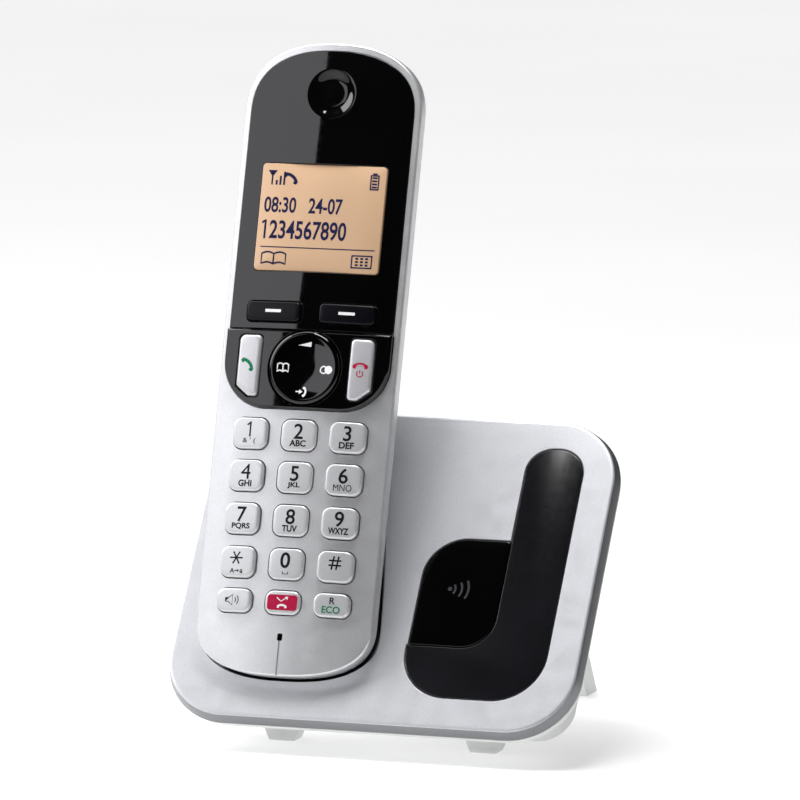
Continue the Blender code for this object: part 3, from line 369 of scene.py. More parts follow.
def quads(rows, count):
    """Quads between neighbouring rings, each ring closed on itself."""
    row = np.repeat(np.arange(rows - 1), count)
    spot = np.tile(np.arange(count), rows - 1)
    after = (spot + 1) % count
    return np.stack([row * count + spot, row * count + after, (row + 1) * count + after,
                     (row + 1) * count + spot], axis=1)


def closed_mesh(name, points, faces, near):
    """A mesh whose corners nearer than a distance are one, with every face turned outwards."""
    mesh = bpy.data.meshes.new(name)
    mesh.from_pydata(points.tolist(), [], faces)
    merged = bmesh.new()
    merged.from_mesh(mesh)
    bmesh.ops.remove_doubles(merged, verts=merged.verts, dist=near)
    bmesh.ops.recalc_face_normals(merged, faces=merged.faces)
    merged.to_mesh(mesh)
    merged.free()
    return mesh


def skin_data(name, solids, place):
    """One mesh of closed skins: each stack of rings is walled by quads and shut by a face at each end."""
    points, faces, start = [], [], 0
    for rings in solids:
        stack = np.array(rings)
        rows, count = stack.shape[:2]
        points.append(place.world(stack.reshape(-1, 3)))
        faces += (quads(rows, count) + start).tolist()
        faces.append(list(range(start + count - 1, start - 1, -1)))
        faces.append(list(range(start + (rows - 1) * count, start + rows * count)))
        start += rows * count
    return closed_mesh(name, np.concatenate(points), faces, 1e-7)


def read(items, field, width, kind=np.float32):
    """One field of a mesh's corners, edges or faces as an array with a row for each."""
    values = np.empty(width * len(items), kind)
    items.foreach_get(field, values)
    return values.reshape(-1, width) if width > 1 else values


def smooth(mesh, degrees=32.0):
    mesh.shade_smooth()
    mesh.set_sharp_from_angle(angle=math.radians(degrees))


def add(name, mesh, material):
    piece = bpy.data.objects.new(name, mesh)
    bpy.context.scene.collection.objects.link(piece)
    if material is not None:
        mesh.materials.clear()
        mesh.materials.append(material)
    return piece


def evaluated_mesh(piece):
    graph = bpy.context.evaluated_depsgraph_get()
    return bpy.data.meshes.new_from_object(piece.evaluated_get(graph), depsgraph=graph)


def settle(piece):
    """Applies a piece's modifiers to its mesh."""
    mesh = evaluated_mesh(piece)
    piece.modifiers.clear()
    old = piece.data
    piece.data = mesh
    bpy.data.meshes.remove(old)


def shape(piece, solids, place, operation="DIFFERENCE"):
    """Cuts, joins or crops a piece by closed stacks of rings."""
    tool = add(piece.name + "_tool", skin_data("tool", solids, place), None)
    step = piece.modifiers.new("shape", "BOOLEAN")
    step.operation = operation
    step.solver = "EXACT"
    step.object = tool
    settle(piece)
    data = tool.data
    bpy.data.objects.remove(tool)
    bpy.data.meshes.remove(data)


def true_normals(piece, place, crown):
    """Sets the normals of a crowned top by its formula: the slope across is -2*crown*x/half_width^2.
    Slivers that a cut leaves on the top take it too, whichever way they face."""
    mesh = piece.data
    corners = len(mesh.loops)
    normals = read(mesh.corner_normals, "vector", 3)
    sizes = read(mesh.polygons, "loop_total", 1, np.int32)
    facing = np.repeat(read(mesh.polygons, "normal", 3), sizes, axis=0) @ place.axes.T
    sliver = np.repeat(read(mesh.polygons, "area", 1) < SLIVER, sizes)
    local = place.local(read(mesh.vertices, "co", 3))[read(mesh.loops, "vertex_index", 1, np.int32)]
    level, drop = crown
    slope = 2.0 * drop * local[:, 0] / PANEL_HALF_WIDTH ** 2
    on_top = np.abs(local[:, 2] - (level - drop * (local[:, 0] / PANEL_HALF_WIDTH) ** 2)) < ON_TOP
    on_top &= (facing[:, 2] > 0.6) | sliver
    true = np.stack([slope, np.zeros(corners), np.ones(corners)], axis=1) @ place.axes
    true /= np.linalg.norm(true, axis=1)[:, None]
    normals[on_top] = true[on_top]
    mesh.normals_split_custom_set(normals.tolist())


def tint(piece, place, material, chosen):
    """Gives a second finish to the faces that chosen(middles, normals) picks, in the place's own axes."""
    mesh = piece.data
    picked = chosen(place.local(read(mesh.polygons, "center", 3)),
                    read(mesh.polygons, "normal", 3) @ place.axes.T)
    mesh.materials.append(material)
    slots = np.where(picked, len(mesh.materials) - 1, 0).astype(np.int32)
    mesh.polygons.foreach_set("material_index", slots)


def skin(name, solids, place, material, degrees=32.0):
    mesh = skin_data(name, solids, place)
    smooth(mesh, degrees)
    return add(name, mesh, material)


def mount(piece, body, slot, *nodes):
    """Hangs a piece on its body, in place of its CAD nodes. The slot is not used."""
    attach(piece, body)
    if nodes:
        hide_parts(*nodes)
    return piece


# ---------------------------------------------------------------- finishes

class Recipe:
    """A material's node tree, with the few steps that every finish here is mixed from."""

    def __init__(self, name, roughness, metallic=0.0):
        self.material = bpy.data.materials.new(name)
        self.material.use_nodes = True
        self.tree = self.material.node_tree
        self.shader = self.tree.nodes["Principled BSDF"]
        self.shader.inputs["Roughness"].default_value = roughness
        self.shader.inputs["Metallic"].default_value = metallic
        self.place = self.tree.nodes.new("ShaderNodeTexCoord").outputs["Object"]

    def node(self, kind, **values):
        made = self.tree.nodes.new(kind)
        for key, value in values.items():
            setattr(made, key, value)
        return made

    def join(self, source, target):
        self.tree.links.new(source, target)

    def stretched(self, scale, turn=(0.0, 0.0, 0.0)):
        mapping = self.node("ShaderNodeMapping")
        mapping.inputs["Scale"].default_value = scale
        mapping.inputs["Rotation"].default_value = turn
        self.join(self.place, mapping.inputs["Vector"])
        return mapping.outputs["Vector"]

    def noise(self, scale, detail=3.0, where=None, rough=0.55):
        made = self.node("ShaderNodeTexNoise")
        made.inputs["Scale"].default_value = scale
        made.inputs["Detail"].default_value = detail
        made.inputs["Roughness"].default_value = rough
        self.join(where or self.place, made.inputs["Vector"])
        return made.outputs["Fac"]

    def cells(self, scale, output="Color", where=None):
        made = self.node("ShaderNodeTexVoronoi")
        made.inputs["Scale"].default_value = scale
        self.join(where or self.place, made.inputs["Vector"])
        return made.outputs[output]

    def spread(self, source, low, high, start=0.3, end=0.7):
        made = self.node("ShaderNodeMapRange")
        made.inputs["From Min"].default_value = start
        made.inputs["From Max"].default_value = end
        made.inputs["To Min"].default_value = low
        made.inputs["To Max"].default_value = high
        self.join(source, made.inputs["Value"])
        return made.outputs["Result"]

    def blend(self, source, first, second, start=0.35, end=0.65):
        """A colour that runs from the first to the second as the source rises."""
        ramp = self.node("ShaderNodeValToRGB")
        ramp.color_ramp.elements[0].position = start
        ramp.color_ramp.elements[0].color = (*first, 1.0)
        ramp.color_ramp.elements[1].position = end
        ramp.color_ramp.elements[1].color = (*second, 1.0)
        self.join(source, ramp.inputs["Fac"])
        self.join(ramp.outputs["Color"], self.shader.inputs["Base Color"])
        return self

    def vary(self, source, low, high):
        self.join(self.spread(source, low, high), self.shader.inputs["Roughness"])
        return self

    def bump(self, source, height, strength=0.5):
        made = self.node("ShaderNodeBump")
        made.inputs["Strength"].default_value = strength
        made.inputs["Distance"].default_value = height * MM
        self.join(source, made.inputs["Height"])
        self.join(made.outputs["Normal"], self.shader.inputs["Normal"])
        return self

    def set(self, **values):
        for key, value in values.items():
            self.shader.inputs[key.replace("_", " ")].default_value = value
        return self


def flake_paint(name, dark, light, roughness, metallic, flake=0.012):
    """Silver paint: fine cells of slightly different brightness and tilt, like flakes in lacquer."""
    made = Recipe(name, roughness, metallic)
    flakes = made.cells(5200.0)
    made.blend(flakes, dark, light, 0.1, 0.9)
    made.vary(made.noise(240.0), roughness - 0.04, roughness + 0.05)
    made.bump(flakes, flake, 0.05)
    made.set(Coat_Weight=0.2, Coat_Roughness=0.15, Coat_IOR=1.5)
    return made.material


def gloss_plastic(name, dark, light, roughness, shine=0.5):
    """Polished moulding: a faint flow in the colour, hair-fine haze in the gloss, soft waviness."""
    made = Recipe(name, roughness)
    made.blend(made.noise(45.0), dark, light)
    made.vary(made.noise(900.0, 5.0), max(roughness - 0.02, 0.0), roughness + 0.03)
    made.bump(made.noise(55.0, 1.0), 0.006, 0.2)
    made.set(Specular_IOR_Level=shine)
    return made.material


def moulded_plastic(name, dark, light, roughness, grain=0.02):
    """Spark-eroded moulding: even fine grain, with the gloss and colour drifting slowly over it."""
    made = Recipe(name, roughness)
    made.blend(made.noise(60.0), dark, light)
    made.vary(made.noise(160.0), roughness - 0.05, roughness + 0.06)
    made.bump(made.noise(2600.0, 2.0), grain, 0.35)
    return made.material


def metal(name, dark, light, roughness, draw=(1.0, 1.0, 14.0)):
    """Drawn metal: noise pulled out along one direction in colour, gloss and height."""
    made = Recipe(name, roughness, 1.0)
    lines = made.noise(900.0, 4.0, made.stretched(draw))
    made.blend(lines, dark, light)
    made.vary(lines, roughness - 0.06, roughness + 0.1)
    made.bump(lines, 0.006, 0.3)
    return made.material


def ink_finish(name, colour, roughness=0.45):
    """Screen-printed ink: speckled coverage and a slightly uneven film."""
    made = Recipe(name, roughness)
    lighter = tuple(min(1.0, 1.12 * c + 0.01) for c in colour)
    made.blend(made.noise(2200.0), colour, lighter)
    made.vary(made.noise(700.0), roughness - 0.05, roughness + 0.08)
    made.bump(made.noise(3500.0, 2.0), 0.004, 0.3)
    made.set(Specular_IOR_Level=0.12)
    return made.material


def display_finish():
    """Back-lit liquid crystal: amber, paler where the lamp is near, over a fine grid of dots."""
    made = Recipe("display_amber", 0.32)
    glow = made.noise(22.0, 1.0)
    made.blend(glow, (0.46, 0.30, 0.18), (0.60, 0.39, 0.24), 0.3, 0.6)
    made.join(made.shader.inputs["Base Color"].links[0].from_socket, made.shader.inputs["Emission Color"])
    made.set(Emission_Strength=0.1)
    dots = made.cells(1600.0, "Distance")
    made.bump(dots, 0.004, 0.15)
    made.vary(made.noise(500.0), 0.28, 0.38)
    return made.material


def board_finish():
    """Circuit board: green lacquer with paler copper tracks, which follow the edges of square cells."""
    made = Recipe("circuit_board", 0.42)
    cells = made.node("ShaderNodeTexVoronoi", distance="CHEBYCHEV", feature="F1")
    cells.inputs["Scale"].default_value = 260.0
    made.join(made.place, cells.inputs["Vector"])
    made.blend(cells.outputs["Distance"], (0.012, 0.11, 0.04), (0.05, 0.26, 0.1), 0.45, 0.5)
    made.bump(cells.outputs["Distance"], 0.05, 0.4)
    made.vary(made.noise(300.0), 0.35, 0.5)
    return made.material


def cell_finish():
    """A rechargeable cell's shrink sleeve: broad pale bands round a green film, with a slight ripple."""
    made = Recipe("cell_sleeve", 0.3)
    bands = made.node("ShaderNodeTexWave", bands_direction="Z", wave_profile="SIN")
    bands.inputs["Scale"].default_value = 16.0
    bands.inputs["Distortion"].default_value = 0.0
    made.join(made.place, bands.inputs["Vector"])
    made.blend(bands.outputs["Fac"], (0.05, 0.2, 0.09), (0.6, 0.66, 0.6), 0.78, 0.82)
    made.bump(made.noise(420.0), 0.02, 0.3)
    made.vary(made.noise(300.0), 0.24, 0.38)
    return made.material


def mix_finishes():
    return {
        "silver": flake_paint("silver_paint", (0.65, 0.655, 0.67), (0.73, 0.735, 0.75), 0.35, 0.6),
        "plate": flake_paint("plate_silver_paint", (0.60, 0.61, 0.64), (0.68, 0.69, 0.72), 0.4, 0.4),
        # The rim's dark grey silver is painted shade: it stands in for the shaded floor that the leaning rim
        # band reflects.
        "rim": flake_paint("rim_painted_shade_silver", (0.20, 0.205, 0.215), (0.24, 0.245, 0.255), 0.36, 0.6),
        "cap": flake_paint("silver_key_paint", (0.61, 0.615, 0.63), (0.67, 0.675, 0.69), 0.36, 0.42),
        # The call keys' silver is a darker copy of the key silver: painted shade for the lesser light they
        # catch.
        "shaded_call_cap": flake_paint("call_key_silver_painted_shade", (0.57, 0.57, 0.595), (0.63, 0.63, 0.655), 0.42, 0.45),
        "black": gloss_plastic("black_gloss", (0.0007, 0.0007, 0.0009), (0.0013, 0.0013, 0.0016), 0.03),
        "piano": gloss_plastic("piano_black", (0.0004, 0.0004, 0.0005), (0.0008, 0.0008, 0.001), 0.05),
        "slate": gloss_plastic("slate_gloss", (0.0055, 0.005, 0.0065), (0.0085, 0.008, 0.0105), 0.16),
        "soft_cap": gloss_plastic("slate_key", (0.002, 0.002, 0.0035), (0.004, 0.004, 0.0065), 0.3, 0.16),
        "light": moulded_plastic("light_shell", (0.70, 0.71, 0.71), (0.80, 0.81, 0.80), 0.5),
        # The dark liner is the cradle pocket's dark moulding, and also painted shade on the walls of the
        # face's key openings.
        "liner_and_gap_shade": moulded_plastic("dark_liner", (0.03, 0.03, 0.033), (0.055, 0.055, 0.06), 0.55, 0.04),
        "display": display_finish(),
        "rubber": moulded_plastic("rubber", (0.09, 0.09, 0.09), (0.14, 0.14, 0.14), 0.8, 0.03),
        "board": board_finish(),
        "steel": metal("steel", (0.42, 0.42, 0.43), (0.62, 0.62, 0.63), 0.3),
        "contact": metal("plated_contact", (0.62, 0.5, 0.26), (0.85, 0.72, 0.42), 0.26),
        "cell": cell_finish(),
        "component": moulded_plastic("black_component", (0.018, 0.018, 0.018), (0.04, 0.04, 0.04), 0.45,
                                     0.03),
        "black_ink": ink_finish("black_ink", (0.006, 0.006, 0.007)),
        "navy_ink": ink_finish("crystal_navy", (0.008, 0.008, 0.05), 0.35),
        "white_ink": ink_finish("white_ink", (0.80, 0.80, 0.82)),
        "green_ink": ink_finish("green_ink", (0.0, 0.16, 0.07)),
        "crimson_ink": ink_finish("crimson_ink", (0.40, 0.004, 0.045)),
        "grey_ink": ink_finish("grey_ink", (0.045, 0.045, 0.05)),
    }


FINISH = mix_finishes()


# ---------------------------------------------------------------- handset casings

def key_centres():
    """Each digit and function key's name, middle and cap."""
    names = (("key_1", "key_2", "key_3"), ("key_4", "key_5", "key_6"), ("key_7", "key_8", "key_9"),
             ("key_star", "key_0", "key_hash"))
    spots = {}
    for row, row_names in zip(ROWS, names):
        for column, name in zip((-1, 0, 1), row_names):
            spots[name] = (column * COLUMN_PITCH, row, DIGIT_CAP)
    for column, name in zip((-1, 0, 1), ("key_speaker", "key_block", "key_recall")):
        spots[name] = (column * COLUMN_PITCH, FUNCTION_ROW, FUNCTION_CAP)
    return spots


def grown_box(size, centre, grow, steps=8):
    """An outline function for a rounded box that is already grown by the running gap."""
    width, height, radius = size
    return lambda more: box_outline(width + 2 * (grow + more), height + 2 * (grow + more),
                                    radius + grow + more, centre, steps)


def make_front_case():
    """The silver face: walls up from the seam, a quarter-round rim, and a crowned top."""
    outer = [ring(case_outline(inset), level) for inset, level in CASE_SIDE]
    outer += soft_rim(case_outline, FACE, FACE_ROUND, 6)
    edge = case_outline(FACE_ROUND)
    outer += crown_cap(edge, FACE, CROWN_SHARES, END_LOW, CASE_LENGTH - END_HIGH)
    inner = [ring(case_outline(CASE_WALL), INNER_FACE), ring(case_outline(CASE_WALL), CASE_SEAM)]
    case = skin("case_front", [inner + outer], HANDSET, FINISH["silver"])
    for outline in (lens_outline, nav_outline):
        shape(case, [prism(outline(-PANEL_SEAM), PANEL_FLOOR, ABOVE_FACE)], HANDSET)
    openings = [flared(grown_box(size, (x, y), KEY_GAP), FACE, BELOW_FACE, KEY_FLARE)
                for x, y, size in key_centres().values()]
    openings.append(flared(grown_box(MOUTH_HOLE, (0.0, MOUTH_HOLE_Y), 0.0, 4), FACE, BELOW_FACE, MOUTH_FLARE))
    under_panels = [box_outline(*SOFT_CAP, (side * SOFT_X, SOFT_Y)) for side in (-1, 1)]
    under_panels.append(box_outline(WINDOW[0] + HOLDER_ROOM, WINDOW[1] + HOLDER_ROOM, HOLDER_CORNER,
                                    (0.0, WINDOW_Y)))
    under_panels.append(box_outline(*EAR_SLOT, (0.0, EAR_SLOT_Y)))
    under_panels.append(circle(NAVIGATOR_RADIUS + NAVIGATOR_GAP, (0.0, NAVIGATOR_Y), 64))
    under_panels += [call_outline(side, KEY_GAP) + np.array((side * CALL_X, CALL_Y)) for side in (-1, 1)]
    openings += [prism(outline, *PANEL_OPENING) for outline in under_panels]
    shape(case, openings, HANDSET)
    groove = flared(grown_box(MOUTH_GROOVE, (0.0, MOUTH_GROOVE_Y), 0.0, 4), FACE, MOUTH_GROOVE_FLOOR,
                    GROOVE_FLARE)
    shape(case, [groove], HANDSET)
    smooth(case.data)
    true_normals(case, HANDSET, (FACE_LEVEL, FACE_CROWN))
    # Painted shade: the walls of the key and mouth openings in the face take the dark liner, so that the gaps
    # round the keys read dark.
    tint(case, HANDSET, FINISH["liner_and_gap_shade"], lambda spots, out: (np.abs(out[:, 2]) < 0.3)
         & (np.abs(spots[:, 0]) < PANEL_HALF_WIDTH - 0.5) & (spots[:, 1] > MOUTH_HOLE_Y - 1.0)
         & (spots[:, 1] < PANEL_LOW) & (spots[:, 2] > INNER_FACE - 0.1))
    mount(case, "handset", "silver_plastic", "front_case")


def hull_at(share, grow=0.0):
    """The hull's level and outline at a share of its depth: stations joined by a smooth cubic."""
    table = np.vstack([2 * HULL[0] - HULL[1], HULL, 2 * HULL[-1] - HULL[-2]])
    along = share * (len(HULL) - 1)
    index = min(int(along), len(HULL) - 2)
    t = along - index
    a, b, c, d = table[index:index + 4]
    level, half, low, high = 0.5 * (2 * b + (c - a) * t + (2 * a - 5 * b + 4 * c - d) * t ** 2
                                    + (3 * b - a - 3 * c + d) * t ** 3)
    turn = (half + grow) / CASE_HALF_WIDTH
    return level, long_outline(half + grow, low - grow, high + grow, END_LOW * turn, END_HIGH * turn)


def hull_rings(grow=0.0, lower=0.0, count=30):
    """The hull's outlines from its mouth to its floor, all but the first lowered."""
    rings = []
    for share in np.linspace(0.0, 1.0, count):
        level, outline = hull_at(share, grow)
        rings.append(ring(outline, level - lower * (share > 0.0)))
    return rings


def hull_cup():
    """The rear casing's wall: the inside from its floor to the mouth, then the outside back down."""
    level, outline = hull_at(1.0)
    middle = 0.5 * (HULL[-1, 2] + HULL[-1, 3])
    floor = crown_cap(outline, level - 0.12, (0.75, 0.45, 0.15), middle - 30.0, middle + 30.0)
    lip = [ring(hull_at(0.0)[1], HULL[0, 0])]
    return hull_rings(-HULL_WALL, -HULL_WALL)[::-1] + lip + hull_rings()[1:] + floor


def make_rear_case():
    """The hull behind the seam, with the battery bay, ringer slots, screw wells and charge contacts."""
    case = skin("case_rear", [hull_cup()], HANDSET, FINISH["silver"])
    shape(case, [prism(circle(SCREW_BOSS_RADIUS, (side * SCREW_X, SCREW_Y), 40), *SCREW_BOSS_LEVELS)
                 for side in (-1, 1)], HANDSET, "UNION")
    cuts = [prism(box_outline(*BAY, (0.0, BAY_Y)), BEHIND_HULL, BAY_FLOOR)]
    cuts += [prism(box_outline(*RINGER_SLOT, (0.0, RINGER_Y + RINGER_PITCH * row)), BEHIND_HULL, RINGER_FLOOR)
             for row in (-1.5, -0.5, 0.5, 1.5)]
    cuts += [prism(circle(SCREW_WELL_RADIUS, (side * SCREW_X, SCREW_Y), 40), BEHIND_HULL, SCREW_WELL_FLOOR)
             for side in (-1, 1)]
    shape(case, cuts, HANDSET)
    contact = HANDSET.local(node_points("charge_contact_left") * MM)
    middle = 0.5 * (contact.min(axis=0) + contact.max(axis=0))
    slots = [prism(box_outline(*CONTACT_SLOT, (side * CONTACT_X, middle[1])), BEHIND_HULL,
                   middle[2] + CONTACT_SLOT_DEPTH) for side in (-1, 1)]
    shape(case, slots, HANDSET)
    smooth(case.data)
    mount(case, "handset", "silver_plastic", "rear_case")


def make_battery_cover():
    """The part of the hull over the bay, a running gap smaller, with ridges for the thumb."""
    cover = skin("cover_battery", [hull_cup()], HANDSET, FINISH["silver"])
    outline = box_outline(BAY[0] - 2 * GAP, BAY[1] - 2 * GAP, BAY[2], (0.0, BAY_Y))
    shape(cover, [prism(outline, BEHIND_HULL, BAY_FLOOR)], HANDSET, "INTERSECT")
    width, height, corner = RIDGE
    ridges = [prism(box_outline(width - abs(row), height, corner, (0.0, RIDGE_Y + RIDGE_PITCH * row)),
                    *RIDGE_LEVELS) for row in range(-2, 3)]
    shape(cover, ridges, HANDSET)
    smooth(cover.data)
    mount(cover, "battery_cover", "silver_plastic", "battery_cover")


def dish_cutter():
    """The ear dish: its depth holds to an inner radius and rises to nothing in an S, 3t^2 - 2t^3."""
    rings = []
    for radius in np.concatenate([DISH_FLOOR_RINGS, np.linspace(DISH_FLOOR_RADIUS, DISH_RADIUS, 12)]):
        t = np.clip((radius - DISH_FLOOR_RADIUS) / (DISH_RADIUS - DISH_FLOOR_RADIUS), 0.0, 1.0)
        depth = DISH_DEPTH * (1.0 - (3 * t ** 2 - 2 * t ** 3)) - DISH_LIFT
        rings.append(ring(circle(radius, (0.0, DISH_Y)), crowned(LENS_LEVEL, FACE_CROWN, depth)))
    rings.append(ring(circle(DISH_RADIUS, (0.0, DISH_Y)), ABOVE_FACE))
    return rings


def make_lens():
    """The black display panel: crowned across, with the window, the soft keys' slots and the ear dish."""
    rings = [ring(lens_outline(), PANEL_BASE)] + soft_rim(lens_outline, LENS, LENS_ROUND, 4)
    rings += crown_cap(lens_outline(LENS_ROUND), LENS, CROWN_SHARES, *LENS_SPINE)
    lens = skin("panel_lens", [rings], HANDSET, FINISH["black"])
    cuts = [dish_cutter(), flared(grown_box(WINDOW, (0.0, WINDOW_Y), 0.0), LENS, BELOW_PANEL, PANEL_FLARE)]
    cuts += [flared(grown_box(SOFT_CAP, (side * SOFT_X, SOFT_Y), KEY_GAP), LENS, BELOW_PANEL, PANEL_FLARE)
             for side in (-1, 1)]
    shape(lens, cuts, HANDSET)
    smooth(lens.data)
    true_normals(lens, HANDSET, (LENS_LEVEL, FACE_CROWN))
    mount(lens, "handset", "black_gloss", "display_lens")


def make_nav_panel():
    """The raised black panel round the navigator, with a bevel down to the face."""
    rings = [ring(nav_outline(), PANEL_BASE)]
    rings += [ring(nav_outline(inset), NAV, drop) for inset, drop in NAV_BEVEL]
    rings += crown_cap(nav_outline(NAV_BEVEL[-1][0]), NAV, CROWN_SHARES, *NAV_SPINE)
    panel = skin("panel_nav", [rings], HANDSET, FINISH["black"])
    cuts = [flared(lambda g: circle(NAVIGATOR_RADIUS + NAVIGATOR_GAP + g, (0.0, NAVIGATOR_Y), 96), NAV,
                   BELOW_PANEL, NAVIGATOR_FLARE)]
    for side in (-1, 1):
        cuts.append(flared(lambda g, side=side: call_outline(side, KEY_GAP + g)
                           + np.array((side * CALL_X, CALL_Y)), NAV, BELOW_PANEL, PANEL_FLARE))
    shape(panel, cuts, HANDSET)
    smooth(panel.data)
    true_normals(panel, HANDSET, (NAV_LEVEL, NAV_CROWN))
    mount(panel, "handset", "black_gloss", "nav_panel")


# ---------------------------------------------------------------- printed and etched marks

def stroke(points, width):
    """A band of even width along a line: each point is moved half the width to either side."""
    line = np.array(points, float)
    ahead = np.diff(line, axis=0)
    ahead /= np.linalg.norm(ahead, axis=1)[:, None]
    along = np.vstack([ahead[:1], ahead[:-1] + ahead[1:], ahead[-1:]])
    along /= np.linalg.norm(along, axis=1)[:, None]
    beside = np.stack([-along[:, 1], along[:, 0]], axis=1) * 0.5 * width
    return [np.concatenate([line - beside, (line + beside)[::-1]])]


def arc(centre, radius, start, end, steps=20):
    """Points centre + radius*(cos t, sin t) from one angle to another, in degrees."""
    angles = np.radians(np.linspace(start, end, steps + 1))
    return np.array(centre) + radius * np.stack([np.cos(angles), np.sin(angles)], axis=1)


def turned(loops, degrees, centre=(0.0, 0.0), scale=1.0):
    """Loops turned about their own zero, scaled, and moved to a centre."""
    angle = math.radians(degrees)
    turn = np.array([[math.cos(angle), math.sin(angle)], [-math.sin(angle), math.cos(angle)]])
    return [scale * (loop @ turn) + np.array(centre) for loop in loops]


def receiver():
    """A telephone receiver 2.3 wide, arched upwards: an arc with a square pad under each end."""
    outer = arc((0.0, -1.35), 1.75, 130.0, 50.0)
    inner = arc((0.0, -1.35), 1.33, 64.0, 116.0)
    right = np.array([(1.1, -0.42), (0.66, -0.52)])
    return [np.concatenate([outer, right, inner, right[::-1] * (-1.0, 1.0)])]


def open_book(width, height, line):
    """An open book: an outline with a fold down the middle and bowed page edges."""
    x, y = 0.5 * width, 0.5 * height
    t = np.linspace(0.0, 1.0, 9)
    bow = 0.16 * height * np.sin(math.pi * t)
    top = np.column_stack([np.linspace(0.0, x, 9), y - 0.1 * height + bow])
    foot = np.column_stack([np.linspace(0.0, x, 9), -y + bow])
    half = np.concatenate([foot, top[::-1], foot[:1]])
    return stroke(half, line) + stroke(half * np.array((-1.0, 1.0)), line)


def box_loops(width, height, centre, radius=0.05):
    return [box_outline(width, height, radius, centre, 3)]


def fill(loops, thickness=INK):
    """A thin flat solid whose edge is the loops, as a mesh's corners and faces in millimetres."""
    curve = bpy.data.curves.new("mark", "CURVE")
    curve.dimensions = "2D"
    curve.fill_mode = "BOTH"
    curve.extrude = 0.5 * thickness
    for loop in loops:
        spline = curve.splines.new("POLY")
        spline.points.add(len(loop) - 1)
        weighted = np.column_stack([loop, np.zeros(len(loop)), np.ones(len(loop))])
        spline.points.foreach_set("co", weighted.ravel())
        spline.use_cyclic_u = True
    return flattened(curve)


def flattened(curve):
    """A curve or text as mesh corners and faces, then removed."""
    thing = bpy.data.objects.new("mark", curve)
    bpy.context.scene.collection.objects.link(thing)
    mesh = evaluated_mesh(thing)
    corners = read(mesh.vertices, "co", 3).astype(float)
    faces = [list(face.vertices) for face in mesh.polygons]
    bpy.data.objects.remove(thing)
    bpy.data.meshes.remove(mesh)
    return corners, faces


def lettering(words, height, centre, width=None, weight=0.018):
    """Figures or letters scaled to a height, and to a width where one is given, about a centre."""
    curve = bpy.data.curves.new("mark", "FONT")
    curve.body = words
    curve.fill_mode = "BOTH"
    curve.resolution_u = 6
    curve.offset = weight
    points, faces = flattened(curve)
    low, high = points.min(axis=0), points.max(axis=0)
    scale = height / (high[1] - low[1])
    sideways = scale if width is None else width / (high[0] - low[0])
    flat = (points[:, :2] - 0.5 * (low + high)[:2]) * np.array((sideways, scale)) + np.array(centre)
    count = len(flat)
    lower = np.column_stack([flat, np.full(count, -0.5 * INK)])
    upper = np.column_stack([flat, np.full(count, 0.5 * INK)])
    edges = {}
    for face in faces:
        for a, b in zip(face, face[1:] + face[:1]):
            edges[(a, b)] = edges.get((a, b), 0) + 1
    rim = [(a, b) for (a, b) in edges if (b, a) not in edges]
    solid = [face[::-1] for face in faces] + [[v + count for v in face] for face in faces]
    solid += [[a, b, b + count, a + count] for a, b in rim]
    return np.concatenate([lower, upper]), solid


def diced(mark, step):
    """A flat mark cut along a square grid, so that it can follow a crowned surface."""
    corners, polygons = mark
    mesh = bpy.data.meshes.new("dice")
    mesh.from_pydata(corners.tolist(), [], polygons)
    cut = bmesh.new()
    cut.from_mesh(mesh)
    bpy.data.meshes.remove(mesh)
    for axis in (0, 1):
        for line in np.arange(corners[:, axis].min() + step, corners[:, axis].max() - 0.3 * step, step):
            across = [float(axis == 0), float(axis == 1), 0.0]
            bmesh.ops.bisect_plane(cut, geom=cut.verts[:] + cut.edges[:] + cut.faces[:], dist=1e-5,
                                   plane_co=[line * part for part in across], plane_no=across)
    cut.verts.index_update()
    points = np.array([vert.co[:] for vert in cut.verts])
    faces = [[vert.index for vert in face.verts] for face in cut.faces]
    cut.free()
    return points, faces


def print_marks(name, marks, place, level, material, body, slot, rise=PRINT_RISE):
    """One piece of several flat marks: each corner is lifted to its surface's level plus a rise."""
    points, faces, start = [], [], 0
    for corners, polygons in marks:
        lifted = corners.copy()
        base = level(corners[:, 0], corners[:, 1]) if callable(level) else level
        lifted[:, 2] += base + rise
        points.append(place.world(lifted))
        faces += [[index + start for index in polygon] for polygon in polygons]
        start += len(corners)
    mesh = closed_mesh(name, np.concatenate(points), faces, 1e-8)
    return mount(add(name, mesh, material), body, slot)


# ---------------------------------------------------------------- keys

def cap_level(centre, size, top, crown):
    """A pillow top on the face's slope: it falls off with the squares of x and y, by the crown at the
    middle of each side, and leans with the crowned face under it."""
    lean = 2.0 * FACE_CROWN * centre[0] / PANEL_HALF_WIDTH ** 2

    def level(x, y):
        across, along = x - centre[0], y - centre[1]
        pillow = (across / (0.5 * size[0])) ** 2 + (along / (0.5 * size[1])) ** 2
        return top - crown * pillow - lean * across
    return level


def cap_rings(outline_at, level, centre, round_edge=KEY_ROUND):
    """A key cap: straight sides from its foot, a quarter-round rim, and a pillow top."""
    rings = [ring(outline_at(0.0), KEY_FOOT)]
    rings += soft_rim(outline_at, level, round_edge, 5)
    edge = outline_at(round_edge)
    middle = np.array(centre)
    return rings + [ring(middle + share * (edge - middle), level) for share in CAP_SHARES]


def make_cap(name, outline_at, centre, size, top, crown, material, slot, round_edge=KEY_ROUND):
    """One key's cap on its own body; gives back the level of its top, for its marks."""
    level = cap_level(centre, size, top, crown)
    cap = skin("cap_" + name, [cap_rings(outline_at, level, centre, round_edge)], HANDSET, material, 45.0)
    mount(cap, name, slot, name)
    return level


# How much letters are thickened; the signs whose narrow corners would close up stay plain
PLAIN, HALF_BOLD, BOLD = 0.0, 0.012, 0.03
CLOSED_IN = set("M&4")
